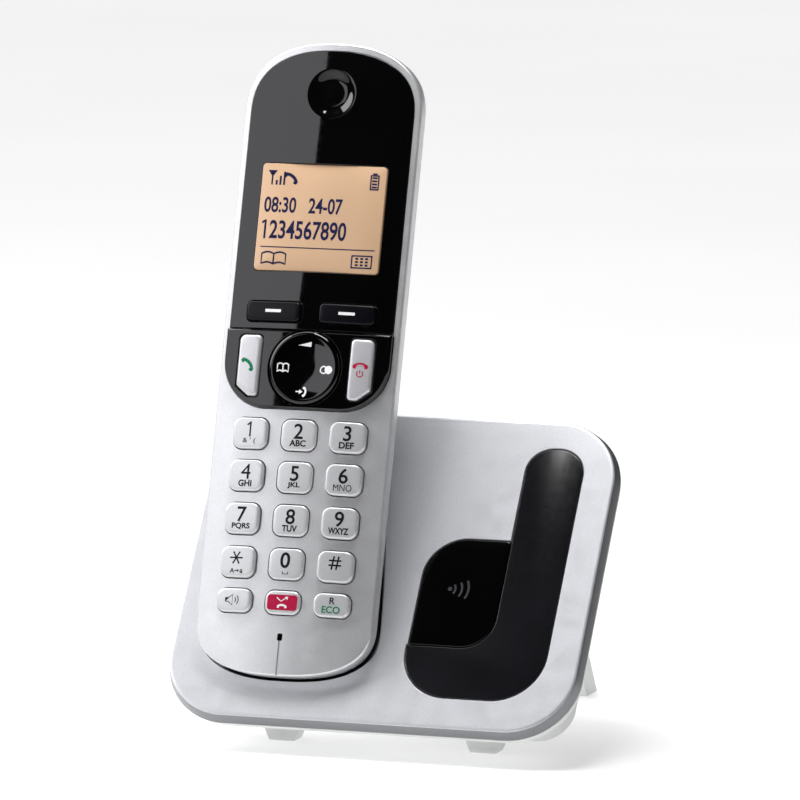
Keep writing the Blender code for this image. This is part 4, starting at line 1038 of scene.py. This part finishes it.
# Each digit key's figure, its letters, and their width
DIGIT_LEGENDS = {
    "key_1": ("1", "& ' (", 3.5), "key_2": ("2", "ABC", 4.3), "key_3": ("3", "DEF", 3.8),
    "key_4": ("4", "GHI", 3.6), "key_5": ("5", "JKL", 3.3), "key_6": ("6", "MNO", 4.7),
    "key_7": ("7", "PQRS", 4.9), "key_8": ("8", "TUV", 4.0), "key_9": ("9", "WXYZ", 5.2)}


def digit_marks(name, x, y):
    """A figure above its letters; the star, nought and hash keys have signs of their own."""
    if name in DIGIT_LEGENDS:
        figure, letters, wide = DIGIT_LEGENDS[name]
        marks = [lettering(letters, 1.65, (x, y - 2.05), wide, PLAIN if set(letters) & CLOSED_IN else BOLD)]
        if figure == "1":
            return marks + [fill(stroke(line, 0.42)) for line in (
                [(x - 0.8, y + 2.0), (x + 0.1, y + 2.65)], [(x + 0.1, y + 2.85), (x + 0.1, y - 0.95)])]
        weight = PLAIN if figure in CLOSED_IN else HALF_BOLD
        return marks + [lettering(figure, 3.85, (x, y + 0.95), weight=weight)]
    if name == "key_star":
        arms = [turned(stroke([(0.0, 0.0), (0.0, 1.75)], 0.38), 60.0 * step + 30.0, (x - 0.3, y + 0.95))
                for step in range(6)]
        arrow = stroke([(x - 0.55, y - 2.3), (x + 0.35, y - 2.3)], 0.22)
        tip = [np.array([(x + 0.2, y - 2.7), (x + 0.75, y - 2.3), (x + 0.2, y - 1.9)])]
        marks = [fill(arm) for arm in arms] + [fill(arrow), fill(tip)]
        return marks + [lettering("A", 1.25, (x - 1.2, y - 2.3)), lettering("a", 0.95, (x + 1.3, y - 2.42))]
    if name == "key_0":
        space = stroke([(x - 0.7, y - 1.9), (x - 0.7, y - 2.5), (x + 0.7, y - 2.5), (x + 0.7, y - 1.9)], 0.22)
        return [lettering("0", 4.0, (x - 0.25, y + 0.95)), fill(space)]
    slants = [stroke([(x - 0.25 + shift, y - 0.8), (x + 0.25 + shift, y + 2.6)], 0.42)
              for shift in (-0.6, 0.6)]
    rungs = [stroke([(x - 1.6, y + lift), (x + 1.6, y + lift)], 0.42) for lift in (0.3, 1.5)]
    return [fill(loops) for loops in slants + rungs]


def speaker_marks(x, y):
    """A loudspeaker in outline with two sound waves."""
    cone = np.array([(-1.7, 0.45), (-0.9, 0.45), (0.2, 1.35), (0.2, -1.35), (-0.9, -0.45), (-1.7, -0.45),
                     (-1.7, 0.45), (-1.3, 0.45)])
    loops = [stroke(cone, 0.24)]
    loops += [stroke(arc((0.2, 0.0), radius, -42.0, 42.0, 10), 0.22) for radius in (0.9, 1.6)]
    return [fill(turned(loop, 0.0, (x, y))) for loop in loops]


def block_marks(x, y):
    """A receiver laid down, with an arrow that bounces off over it."""
    bounce = stroke([(x - 1.5, y + 1.2), (x - 0.3, y + 0.3), (x + 1.1, y + 1.3)], 0.24)
    tip = [np.array([(x + 0.6, y + 1.45), (x + 1.5, y + 1.5), (x + 1.3, y + 0.7)])]
    return [fill(turned(receiver(), 0.0, (x, y - 0.85), 1.15)), fill(bounce), fill(tip)]


def make_digit_keys():
    """The twelve digit keys and the three function keys under them, each with its print."""
    for name, (x, y, size) in key_centres().items():
        width, height, corner = size
        level = make_cap(name, lambda inset: box_outline(width - 2 * inset, height - 2 * inset,
                                                         corner - inset, (x, y)),
                         (x, y), size, 0.0, DIGIT_CROWN, FINISH["cap"], "silver_key")

        def printed(piece, marks, ink, slot="silver_key", rise=PRINT_RISE):
            print_marks(piece, marks, HANDSET, level, FINISH[ink], name, slot, rise)

        if size is DIGIT_CAP:
            printed(f"legend_{name}", digit_marks(name, x, y), "black_ink", "black_component")
        elif name == "key_speaker":
            printed("legend_speaker", speaker_marks(x - 0.5, y), "black_ink", "black_component")
        elif name == "key_block":
            label = diced(fill(box_loops(7.9, 3.9, (x, y), 0.8)), 0.6)
            printed("label_block", [label], "crimson_ink")
            printed("legend_block", block_marks(x, y), "white_ink", rise=OVER_LABEL)
        else:
            printed("legend_recall", [lettering("R", 1.7, (x + 0.2, y + 1.1))], "black_ink",
                    "black_component")
            printed("legend_eco", [lettering("ECO", 1.75, (x, y - 1.15))], "green_ink")


def make_soft_keys():
    """The two keys under the display, each with a white dash."""
    for side, word in ((-1, "left"), (1, "right")):
        centre = (side * SOFT_X, SOFT_Y)
        name = f"soft_key_{word}"
        level = make_cap(name, lambda inset, centre=centre: box_outline(
            SOFT_CAP[0] - 2 * inset, SOFT_CAP[1] - 2 * inset, max(SOFT_CAP[2] - inset, 0.4), centre),
            centre, SOFT_CAP, SOFT_TOP, PANEL_KEY_CROWN, FINISH["soft_cap"], "slate_gloss")
        dash = fill(box_loops(4.25, 0.75, (side * SOFT_X, SOFT_Y + 0.1), 0.12))
        print_marks(f"dash_{word}", [dash], HANDSET, level, FINISH["white_ink"], name, "silver_key")


def make_call_keys():
    """The talk key with a green receiver, and the off key with a red one over the power sign."""
    for side, name in ((-1, "key_talk"), (1, "key_off")):
        centre = (side * CALL_X, CALL_Y)
        # The caps take the darker call-key silver, which is painted shade.
        level = make_cap(name, lambda inset, side=side, centre=centre: call_outline(side, -inset)
                         + np.array(centre), centre, CALL_CAP, CALL_TOP, PANEL_KEY_CROWN,
                         FINISH["shaded_call_cap"], "silver_key", CALL_ROUND)
        if side < 0:
            marks = [fill(turned(receiver(), -45.0, (centre[0] + 0.05, centre[1] + 0.3), 1.9))]
            print_marks("legend_talk", marks, HANDSET, level, FINISH["green_ink"], name, "silver_key")
        else:
            x, y = centre[0], centre[1] + 1.1
            marks = [fill(turned(receiver(), 0.0, (x, y), 1.75))]
            power = arc((x, y - 2.1), 0.8, 130.0, 410.0, 20)
            marks += [fill(stroke(power, 0.24)), fill(stroke([(x, y - 2.1), (x, y - 1.2)], 0.24))]
            print_marks("legend_off", marks, HANDSET, level, FINISH["crimson_ink"], name, "silver_key")


# The navigator's turned profile from its foot: radius and level
NAVIGATOR_PROFILE = ((9.3, KEY_FOOT + 0.3), (9.3, 0.3), (9.22, 0.5), (8.95, 0.74), (8.6, 0.87), (8.3, 0.9),
                     (8.0, 0.86), (7.5, 0.76))
BOWL_RADIUS, BOWL_FLAT, BOWL_RIM, BOWL_FLOOR = 7.5, 1.9, 0.76, 0.23


def bowl_level(x, y):
    """The navigator's hollow top: flat to an inner radius, then floor + (rim - floor)*t^2."""
    radius = np.hypot(x, y - NAVIGATOR_Y)
    share = np.clip((radius - BOWL_FLAT) / (BOWL_RADIUS - BOWL_FLAT), 0.0, 1.0)
    return BOWL_FLOOR + (BOWL_RIM - BOWL_FLOOR) * share ** 2


def make_navigator():
    """The navigator: its profile turned about its axis, the bowl inside it, and its signs."""
    centre = (0.0, NAVIGATOR_Y)
    rings = [ring(circle(radius, centre), level) for radius, level in NAVIGATOR_PROFILE]
    rings += [ring(circle(radius, centre), bowl_level)
              for radius in (7.1, 6.6, 6.0, 5.4, 4.8, 4.2, 3.6, 3.0, 2.4, 1.9, 1.0, 0.1)]
    key = skin("cap_navigator", [rings], HANDSET, FINISH["piano"], 60.0)
    mount(key, "navigator", "black_gloss", "navigator")
    x, y = centre
    # Volume at the top, phone book at the left, redial at the right, call log at the bottom
    wedge = [np.array([(x - 2.1, y + 5.65), (x + 1.4, y + 5.35), (x + 1.4, y + 6.6)])]
    marks = [fill(wedge)]
    marks += [fill([loop]) for loop in turned(open_book(2.8, 2.0, 0.34), 0.0, (x - 5.6, y - 0.2))]
    ring_centre = (x + 5.2, y - 0.3)
    marks.append(fill([circle(1.05, ring_centre, 32), circle(0.72, ring_centre, 32)]))
    marks.append(fill([circle(1.05, (x + 6.5, y - 0.3), 32)]))
    marks.append(fill(stroke([(x - 1.6, y - 6.1), (x - 0.3, y - 6.1)], 0.3)))
    marks.append(fill([np.array([(x - 0.7, y - 6.7), (x + 0.2, y - 6.1), (x - 0.7, y - 5.5)])]))
    marks.append(fill(turned(receiver(), -90.0, (x + 0.75, y - 6.1), 1.15)))
    print_marks("legend_navigator", marks, HANDSET, bowl_level, FINISH["white_ink"], "navigator",
                "silver_key")


# ---------------------------------------------------------------- display

def make_display():
    """The liquid crystal in its holder, its glass a little under the panel's window."""
    def glass(inset):
        return box_outline(WINDOW[0] - GLASS_GAP - 2 * inset, WINDOW[1] - GLASS_GAP - 2 * inset, 1.0,
                           (0.0, WINDOW_Y))

    holder = box_outline(WINDOW[0] + HOLDER_MARGIN, WINDOW[1] + HOLDER_MARGIN, HOLDER_CORNER, (0.0, WINDOW_Y))
    step = PANEL_FLOOR - 0.1
    rings = [ring(holder, HOLDER_FOOT), ring(holder, step), ring(glass(0.0), step)]
    rings += soft_rim(glass, GLASS_LEVEL, GLASS_ROUND, 3)
    rings += crown_cap(glass(GLASS_ROUND), GLASS_LEVEL, (0.6, 0.2), WINDOW_Y, WINDOW_Y)
    display = skin("display_glass", [rings], HANDSET, FINISH["display"], 40.0)
    mount(display, "handset", "display_amber", "display_module")
    left, right = -0.5 * WINDOW[0], 0.5 * WINDOW[0]
    top, low = WINDOW_Y + 0.5 * WINDOW[1], WINDOW_Y - 0.5 * WINDOW[1]
    # The aerial with its bars, and a receiver
    marks = []
    mast = left + 2.9
    marks.append(fill(stroke([(mast, top - 5.6), (mast, top - 2.4)], 0.4)))
    marks.append(fill([np.array([(mast - 1.2, top - 1.9), (mast, top - 3.6), (mast + 1.2, top - 1.9)])]))
    marks += [fill(box_loops(0.5, 1.2 + 1.1 * bar, (mast + 1.2 + 1.0 * bar, top - 5.0 + 0.55 * bar)))
              for bar in range(3)]
    marks.append(fill(turned(receiver(), -35.0, (left + 8.0, top - 3.6), 1.9)))
    # The battery, with its charge
    cell = (right - 3.1, top - 4.2)
    marks.append(fill([box_outline(2.4, 3.9, 0.1, cell, 2), box_outline(1.7, 3.2, 0.1, cell, 2)]))
    marks.append(fill(box_loops(1.2, 0.4, (cell[0], cell[1] + 2.2))))
    marks += [fill(box_loops(1.4, 0.45, (cell[0], cell[1] - 1.2 + 0.8 * bar))) for bar in range(4)]
    # The time and date, and the figures with a flagged one before them
    marks.append(lettering("08:30   24-07", 4.0, (left + 11.8, WINDOW_Y + 3.1), 20.8))
    marks.append(lettering("234567890", 4.8, (left + 13.6, WINDOW_Y - 3.2), 20.4))
    marks += [fill(stroke(line, 0.5)) for line in (
        [(left + 1.3, WINDOW_Y - 1.6), (left + 2.2, WINDOW_Y - 1.0)],
        [(left + 2.2, WINDOW_Y - 0.8), (left + 2.2, WINDOW_Y - 5.6)])]
    # A line, and under it the signs for the soft keys: a book and a keypad
    marks.append(fill(box_loops(30.4, 0.26, (0.0, low + 6.1))))
    marks += [fill([loop]) for loop in turned(open_book(6.4, 2.9, 0.42), 0.0, (left + 5.2, low + 3.2))]
    pad = (right - 4.6, low + 3.1)
    marks.append(fill([box_outline(5.6, 3.4, 0.1, pad, 2), box_outline(4.9, 2.7, 0.1, pad, 2)]))
    for row in (-1, 0, 1):
        marks += [fill(box_loops(0.75, 0.5, (pad[0] + 1.3 * column, pad[1] + 0.82 * row)))
                  for column in (-1, 0, 1)]
    print_marks("display_segments", marks, HANDSET, GLASS_LEVEL, FINISH["navy_ink"], "handset",
                "black_component")


# ---------------------------------------------------------------- base

def to_plate(points):
    """Handset places as plate places."""
    return PLATE.local(HANDSET.world(points))


def cradle_rings(grow):
    """The handset's hull, grown by a clearance, in the plate's place."""
    half = CRADLE_HALF_WIDTH + grow
    first = ring(long_outline(half, -grow, CASE_LENGTH + grow, END_LOW * half / CASE_HALF_WIDTH,
                              END_HIGH * half / CASE_HALF_WIDTH), CRADLE_MOUTH)
    rings = [first] + [ring(outline, level - grow) for level, outline in
                       (hull_at(share, grow) for share in np.linspace(0.0, 1.0, 24))]
    return [to_plate(points) for points in rings]


def plain_cap(outline, level, centre, shares=(0.9, 0.7, 0.5, 0.3, 0.1)):
    """Rings that shrink an outline towards a centre, all on one level."""
    middle = np.array(centre)
    return [ring(middle + share * (outline - middle), level) for share in shares]


def is_corner(spots):
    """Whether a place is outside the straight stretches of the plate's edge."""
    x = np.abs(spots[:, 0]) - (0.5 * PLATE_WIDTH - PLATE_CORNER)
    y = np.abs(spots[:, 1] - 0.5 * PLATE_LENGTH) - (0.5 * PLATE_LENGTH - PLATE_CORNER)
    return (x > 0.0) & (y > 0.0) & (np.hypot(x, y) > PLATE_CORNER - EDGE_BAND)


def make_top_shell():
    """The silver plate: a leaning rim band, a small round to the flat top, the cradle's mouth and the
    recesses of the strip and the button."""
    centre = (0.0, 0.5 * PLATE_LENGTH)
    outer = [ring(plate_outline(inset), level) for inset, level in PLATE_EDGE]
    outer += plain_cap(plate_outline(PLATE_EDGE[-1][0]), PLATE_TOP, centre)
    inner = plain_cap(plate_outline(PLATE_WALL), PLATE_TOP - PLATE_WALL, centre, (0.3,))
    inner += [ring(plate_outline(PLATE_WALL), PLATE_TOP - PLATE_WALL), ring(plate_outline(PLATE_WALL), 0.0)]
    shell = skin("shell_top", [inner + outer], PLATE, FINISH["plate"])
    shape(shell, [cradle_rings(CRADLE_CLEARANCE)], PLATE)
    strip_recess = flared(lambda g: strip_outline(GROOVE + g), PLATE_TOP, PLATE_TOP - INLAY_DEPTH - GAP,
                          PLATE_FLARE)
    button_opening = flared(lambda g: button_outline(GROOVE + g), PLATE_TOP, BUTTON_OPENING_FLOOR,
                            PLATE_FLARE)
    shape(shell, [strip_recess], PLATE)
    shape(shell, [button_opening], PLATE)
    smooth(shell.data)
    # Painted shade: the faces of the plate's leaning rim band take the dark rim paint.
    tint(shell, PLATE, FINISH["rim"], lambda spots, out: (out[:, 2] < 0.6) & (out[:, 2] > -0.5)
         & (spots[:, 2] > 0.0) & ((np.abs(spots[:, 0]) > 0.5 * PLATE_WIDTH - EDGE_BAND)
         | (spots[:, 1] < EDGE_BAND) | (spots[:, 1] > PLATE_LENGTH - EDGE_BAND) | is_corner(spots)))
    mount(shell, "base", "silver_plastic", "base_top_shell")


def make_bottom_shell():
    """The light lower shell: its own rim band, then the housing behind the plate with round edges."""
    centre = (0.0, HOUSING_Y)
    outer = [ring(plate_outline(inset), level) for inset, level in LOWER_EDGE]
    outer += [ring(housing_outline(inset), -RIM_DEPTH - drop) for inset, drop in HOUSING_ROOT]
    for t in np.linspace(0.0, 0.5 * math.pi, 7):
        outer.append(ring(housing_outline(HOUSING_ROUND * (1.0 - math.cos(t))),
                          HOUSING_ROUND - HOUSING_DEPTH - HOUSING_ROUND * math.sin(t)))
    outer += plain_cap(housing_outline(HOUSING_ROUND), -HOUSING_DEPTH, centre)
    floor, ledge = SHELL_WALL - HOUSING_DEPTH, SHELL_WALL - RIM_DEPTH
    room, mouth = housing_outline(SHELL_WALL), plate_outline(PLATE_WALL)
    inner = plain_cap(room, floor, centre, (0.3,))
    inner += [ring(room, floor), ring(room, ledge), ring(mouth, ledge), ring(mouth, -GAP)]
    shell = skin("shell_bottom", [inner + outer], PLATE, FINISH["light"])
    cuts = []
    for x, width in (LINE_SOCKET, POWER_SOCKET):
        low, high = x - 0.5 * width - GAP, x + 0.5 * width + GAP
        outline = np.array([(low, SOCKET_FRONT), (high, SOCKET_FRONT),
                            (high, SOCKET_BACK), (low, SOCKET_BACK)])
        cuts.append(prism(outline, SOCKET_FOOT - GAP, SOCKET_TOP + GAP))
    radius, floor = BASE_SCREW_WELL
    cuts += [prism(circle(radius, spot, 40), BELOW_HOUSING, floor) for spot in BASE_SCREWS]
    shape(shell, cuts, PLATE)
    radius, floor = BASE_SCREW_HOLE
    shape(shell, [prism(circle(radius, spot, 32), BELOW_HOUSING, floor) for spot in BASE_SCREWS], PLATE)
    smooth(shell.data)
    mount(shell, "base", "light_plastic", "base_bottom_shell")


# The middle of the sign on the locator button, and each wave's radius and half angle
LOCATOR_MARK = (16.4, 39.1)
LOCATOR_WAVES = ((2.0, 38.0), (3.7, 31.0), (5.4, 27.0))


def make_inlay():
    """The slate strip and the black locator button, both just under the plate's top, with soft rims."""
    top = PLATE_TOP - INLAY_DROP
    rings = [ring(strip_outline(), PLATE_TOP - INLAY_DEPTH)]
    rings += soft_rim(lambda inset: strip_outline(-inset), top, STRIP_ROUND, 4)
    strip = skin("strip_slate", [rings], PLATE, FINISH["slate"], 40.0)
    mount(strip, "base", "slate_gloss", "inlay_strip")
    x, y = 0.5 * (STRIP_LEFT + STRIP_INNER), 0.5 * (BUTTON_LOW + BUTTON_HIGH)
    rings = [ring(button_outline(), BUTTON_FOOT)]
    rings += soft_rim(lambda inset: button_outline(-inset), top, BUTTON_ROUND, 4)
    rings += plain_cap(button_outline(-BUTTON_ROUND), top, (x, y), (0.8, 0.5, 0.2))
    button = skin("button_locator", [rings], PLATE, FINISH["piano"], 40.0)
    shape(button, [prism(box_outline(*STEM, (x, y)), *STEM_LEVELS)], PLATE, "UNION")
    smooth(button.data, 40.0)
    mount(button, "locator_button", "black_gloss", "locator_button")
    x, y = LOCATOR_MARK
    marks = [fill([circle(0.55, (x, y), 24)])]
    marks += [fill(stroke(arc((x - 0.6, y), radius, -half, half, 14), 0.55))
              for radius, half in LOCATOR_WAVES]
    print_marks("mark_locator", marks, PLATE, top, FINISH["grey_ink"], "locator_button", "black_gloss")


def make_cradle():
    """The cradle: the handset's hull grown by its clearance and wall, hollowed, and trimmed under the
    plate."""
    pocket = skin("pocket_liner", [cradle_rings(CRADLE_CLEARANCE + CRADLE_WALL)], PLATE, FINISH["liner_and_gap_shade"])
    shape(pocket, [cradle_rings(CRADLE_CLEARANCE)], PLATE)
    above = prism(box_outline(*OVER_PLATE, OVER_PLATE_MIDDLE), PLATE_TOP - PLATE_WALL - GAP, OVER_PLATE_TOP)
    shape(pocket, [above], PLATE)
    x = float(HANDSET.origin[0])
    wells = [prism(circle(PIN_RADIUS + PIN_GAP, (x + side * CONTACT_X, PIN_Y), 32), *PIN_WELL_LEVELS)
             for side in (-1, 1)]
    shape(pocket, wells, PLATE)
    smooth(pocket.data)
    mount(pocket, "base", "dark_liner", "cradle_pocket")


def bevelled_copy(name, node, width, body, slot, material):
    """A CAD solid's own shape with its edges eased by small rounds."""
    mesh = frame["nodes"][node].data.copy()
    mesh.materials.clear()
    merged = bmesh.new()
    merged.from_mesh(mesh)
    bmesh.ops.remove_doubles(merged, verts=merged.verts, dist=1e-6)
    bmesh.ops.dissolve_limit(merged, angle_limit=math.radians(1.0), verts=merged.verts, edges=merged.edges)
    merged.to_mesh(mesh)
    merged.free()
    piece = add(name, mesh, material)
    ease = piece.modifiers.new("ease", "BEVEL")
    ease.width = width * MM
    ease.segments = 3
    ease.limit_method = "ANGLE"
    ease.angle_limit = math.radians(30.0)
    settle(piece)
    smooth(piece.data, 40.0)
    mount(piece, body, slot, node)


def make_base_trim():
    """The stand, the front feet and both sockets, as their solids with eased edges."""
    bevelled_copy("stand_rear", "rear_stand", 0.45, "base", "light_plastic", FINISH["light"])
    for side in ("left", "right"):
        bevelled_copy(f"foot_{side}", f"front_foot_{side}", 0.5, "base", "light_plastic", FINISH["light"])
    for socket in ("line_socket", "power_socket"):
        bevelled_copy(f"eased_{socket}", socket, 0.15, "base", "black_component", FINISH["component"])


INNER_FINISHES = {
    "battery_cell_left": "cell", "battery_cell_right": "cell", "battery_contact_lower": "contact",
    "battery_contact_upper": "contact", "handset_board": "board", "keypad_mat": "rubber",
    "ear_speaker": "component", "ringer_speaker": "component", "microphone": "component",
    "charge_contact_left": "contact", "charge_contact_right": "contact", "handset_screw_left": "steel",
    "handset_screw_right": "steel", "navigator_pivot": "component", "locator_switch": "component",
    "base_board": "board", "base_antenna": "contact", "charge_pin_left": "contact",
    "charge_pin_right": "contact", "base_screw_upper": "steel", "base_screw_lower": "steel"}


def finish_inner_parts():
    """The parts inside keep their CAD shapes and take their finishes."""
    for node, key in INNER_FINISHES.items():
        mesh = frame["nodes"][node].data
        if not mesh.materials:
            mesh.materials.append(None)
        for index in range(len(mesh.materials)):
            mesh.materials[index] = FINISH[key]


# ---------------------------------------------------------------- studio

CAMERA_AZIMUTH, CAMERA_ELEVATION = 18.508, 8.259
CAMERA_PLACE = (0.57064, -1.72723, 0.34688)
CAMERA_LENS = 326.116


def direction(azimuth, elevation):
    """A unit direction; azimuth 0 is towards the front, and it grows to the right."""
    a, e = math.radians(azimuth), math.radians(elevation)
    return Vector((math.sin(a) * math.cos(e), -math.cos(a) * math.cos(e), math.sin(e)))


def make_camera():
    """A long lens; the camera's axes are right, the upright at a right angle to both, and back."""
    back = direction(CAMERA_AZIMUTH, CAMERA_ELEVATION)
    right = direction(CAMERA_AZIMUTH + 90.0, 0.0)
    data = bpy.data.cameras.new("camera")
    data.sensor_width = 36.0
    data.lens = CAMERA_LENS
    camera = bpy.data.objects.new("camera", data)
    bpy.context.scene.collection.objects.link(camera)
    camera.matrix_world = Matrix.Translation(CAMERA_PLACE) @ Matrix(
        (right, back.cross(right), back)).transposed().to_4x4()
    bpy.context.scene.camera = camera


# Each soft box's bearing and height in degrees, its distance, width and height in metres, its power and
# its colour; all of them face one point near the object's middle
SOFT_BOXES = {
    "light_left": (-36.8, 23.0, 1.1, 0.42, 0.54, 1.52, (0.96, 0.96, 1.0)),
    "light_side": (-80.0, 32.0, 0.9, 0.5, 0.6, 5.8, (1.0, 1.0, 1.0)),
    "light_above": (0.0, 82.0, 0.34, 0.14, 0.12, 0.85, (1.0, 1.0, 1.0))}
LIT_POINT = (0.0, 0.0, 0.08)


def soft_box(name, azimuth, elevation, distance, width, height, power, colour):
    """A rectangular light that faces the lit point."""
    data = bpy.data.lights.new(name, "AREA")
    data.shape = "RECTANGLE"
    data.size, data.size_y = width, height
    data.energy = power
    data.color = colour
    lamp = bpy.data.objects.new(name, data)
    bpy.context.scene.collection.objects.link(lamp)
    lamp.location = Vector(LIT_POINT) + distance * direction(azimuth, elevation)
    lamp.rotation_mode = "QUATERNION"
    lamp.rotation_quaternion = direction(azimuth, elevation).to_track_quat("Z", "Y")
    lamp.visible_camera = False


# The studio's ceiling light: its middle, and its brightness by the cosine of the angle from there
SKY_MIDDLE = (-0.45, 0.30, 0.85)
SKY = ((0.0, 0.004), (0.60, 0.005), (0.86, 0.01), (0.95, 1.0), (1.0, 1.0))
SKY_STRENGTH = 4.0


def make_sky():
    """A white surround for the camera; the object is lit by a soft ceiling over dark walls."""
    world = bpy.data.worlds.new("studio")
    bpy.context.scene.world = world
    world.use_nodes = True
    tree = world.node_tree
    tree.nodes.clear()
    output = tree.nodes.new("ShaderNodeOutputWorld")
    mix = tree.nodes.new("ShaderNodeMixShader")
    seen = tree.nodes.new("ShaderNodeBackground")
    seen.inputs["Color"].default_value = (1.0, 1.0, 1.0, 1.0)
    lit = tree.nodes.new("ShaderNodeBackground")
    ramp = tree.nodes.new("ShaderNodeValToRGB").color_ramp
    for stop in SKY[1:-1]:
        ramp.elements.new(stop[0])
    for element, (spot, bright) in zip(ramp.elements, SKY):
        element.position = spot
        element.color = (bright, bright, bright, 1.0)
    cosine = tree.nodes.new("ShaderNodeVectorMath")
    cosine.operation = "DOT_PRODUCT"
    cosine.inputs[1].default_value = Vector(SKY_MIDDLE).normalized()
    coordinates = tree.nodes.new("ShaderNodeTexCoord")
    tree.links.new(coordinates.outputs["Generated"], cosine.inputs[0])
    tree.links.new(cosine.outputs["Value"], tree.nodes["Color Ramp"].inputs["Fac"])
    tree.links.new(tree.nodes["Color Ramp"].outputs["Color"], lit.inputs["Color"])
    lit.inputs["Strength"].default_value = SKY_STRENGTH
    path = tree.nodes.new("ShaderNodeLightPath")
    tree.links.new(path.outputs["Is Camera Ray"], mix.inputs["Fac"])
    tree.links.new(lit.outputs["Background"], mix.inputs[1])
    tree.links.new(seen.outputs["Background"], mix.inputs[2])
    tree.links.new(mix.outputs["Shader"], output.inputs["Surface"])


FLOOR_REACH, FLOOR_RINGS, FLOOR_SIDES = 6.0, 24, 64


def make_floor():
    """A round pale floor: rings whose radius grows with the square of their number."""
    radii = FLOOR_REACH * (np.arange(1, FLOOR_RINGS + 1) / FLOOR_RINGS) ** 2
    angles = np.linspace(0.0, 2.0 * math.pi, FLOOR_SIDES, endpoint=False)
    spots = radii[:, None, None] * np.stack([np.cos(angles), np.sin(angles)], axis=1)[None]
    points = np.concatenate([spots.reshape(-1, 2), np.zeros((1, 2))])
    faces = quads(FLOOR_RINGS, FLOOR_SIDES).tolist()
    faces += [[len(points) - 1, index, (index + 1) % FLOOR_SIDES] for index in range(FLOOR_SIDES)]
    mesh = bpy.data.meshes.new("floor")
    mesh.from_pydata(np.column_stack([points, np.zeros(len(points))]).tolist(), [], faces)
    made = Recipe("pale_floor", 0.7)
    made.blend(made.noise(3.0), (0.60, 0.60, 0.60), (0.64, 0.64, 0.64))
    made.set(Specular_IOR_Level=0.1, Emission_Color=(1.0, 1.0, 1.0, 1.0), Emission_Strength=0.5)
    floor = add("floor", mesh, made.material)


def make_studio():
    bpy.context.scene.view_settings.view_transform = "Standard"
    make_camera()
    make_sky()
    make_floor()
    for name, values in SOFT_BOXES.items():
        soft_box(name, *values)


make_studio()
make_front_case()
make_rear_case()
make_battery_cover()
make_lens()
make_nav_panel()
make_digit_keys()
make_soft_keys()
make_call_keys()
make_navigator()
make_display()
make_top_shell()
make_bottom_shell()
make_inlay()
make_cradle()
make_base_trim()
finish_inner_parts()
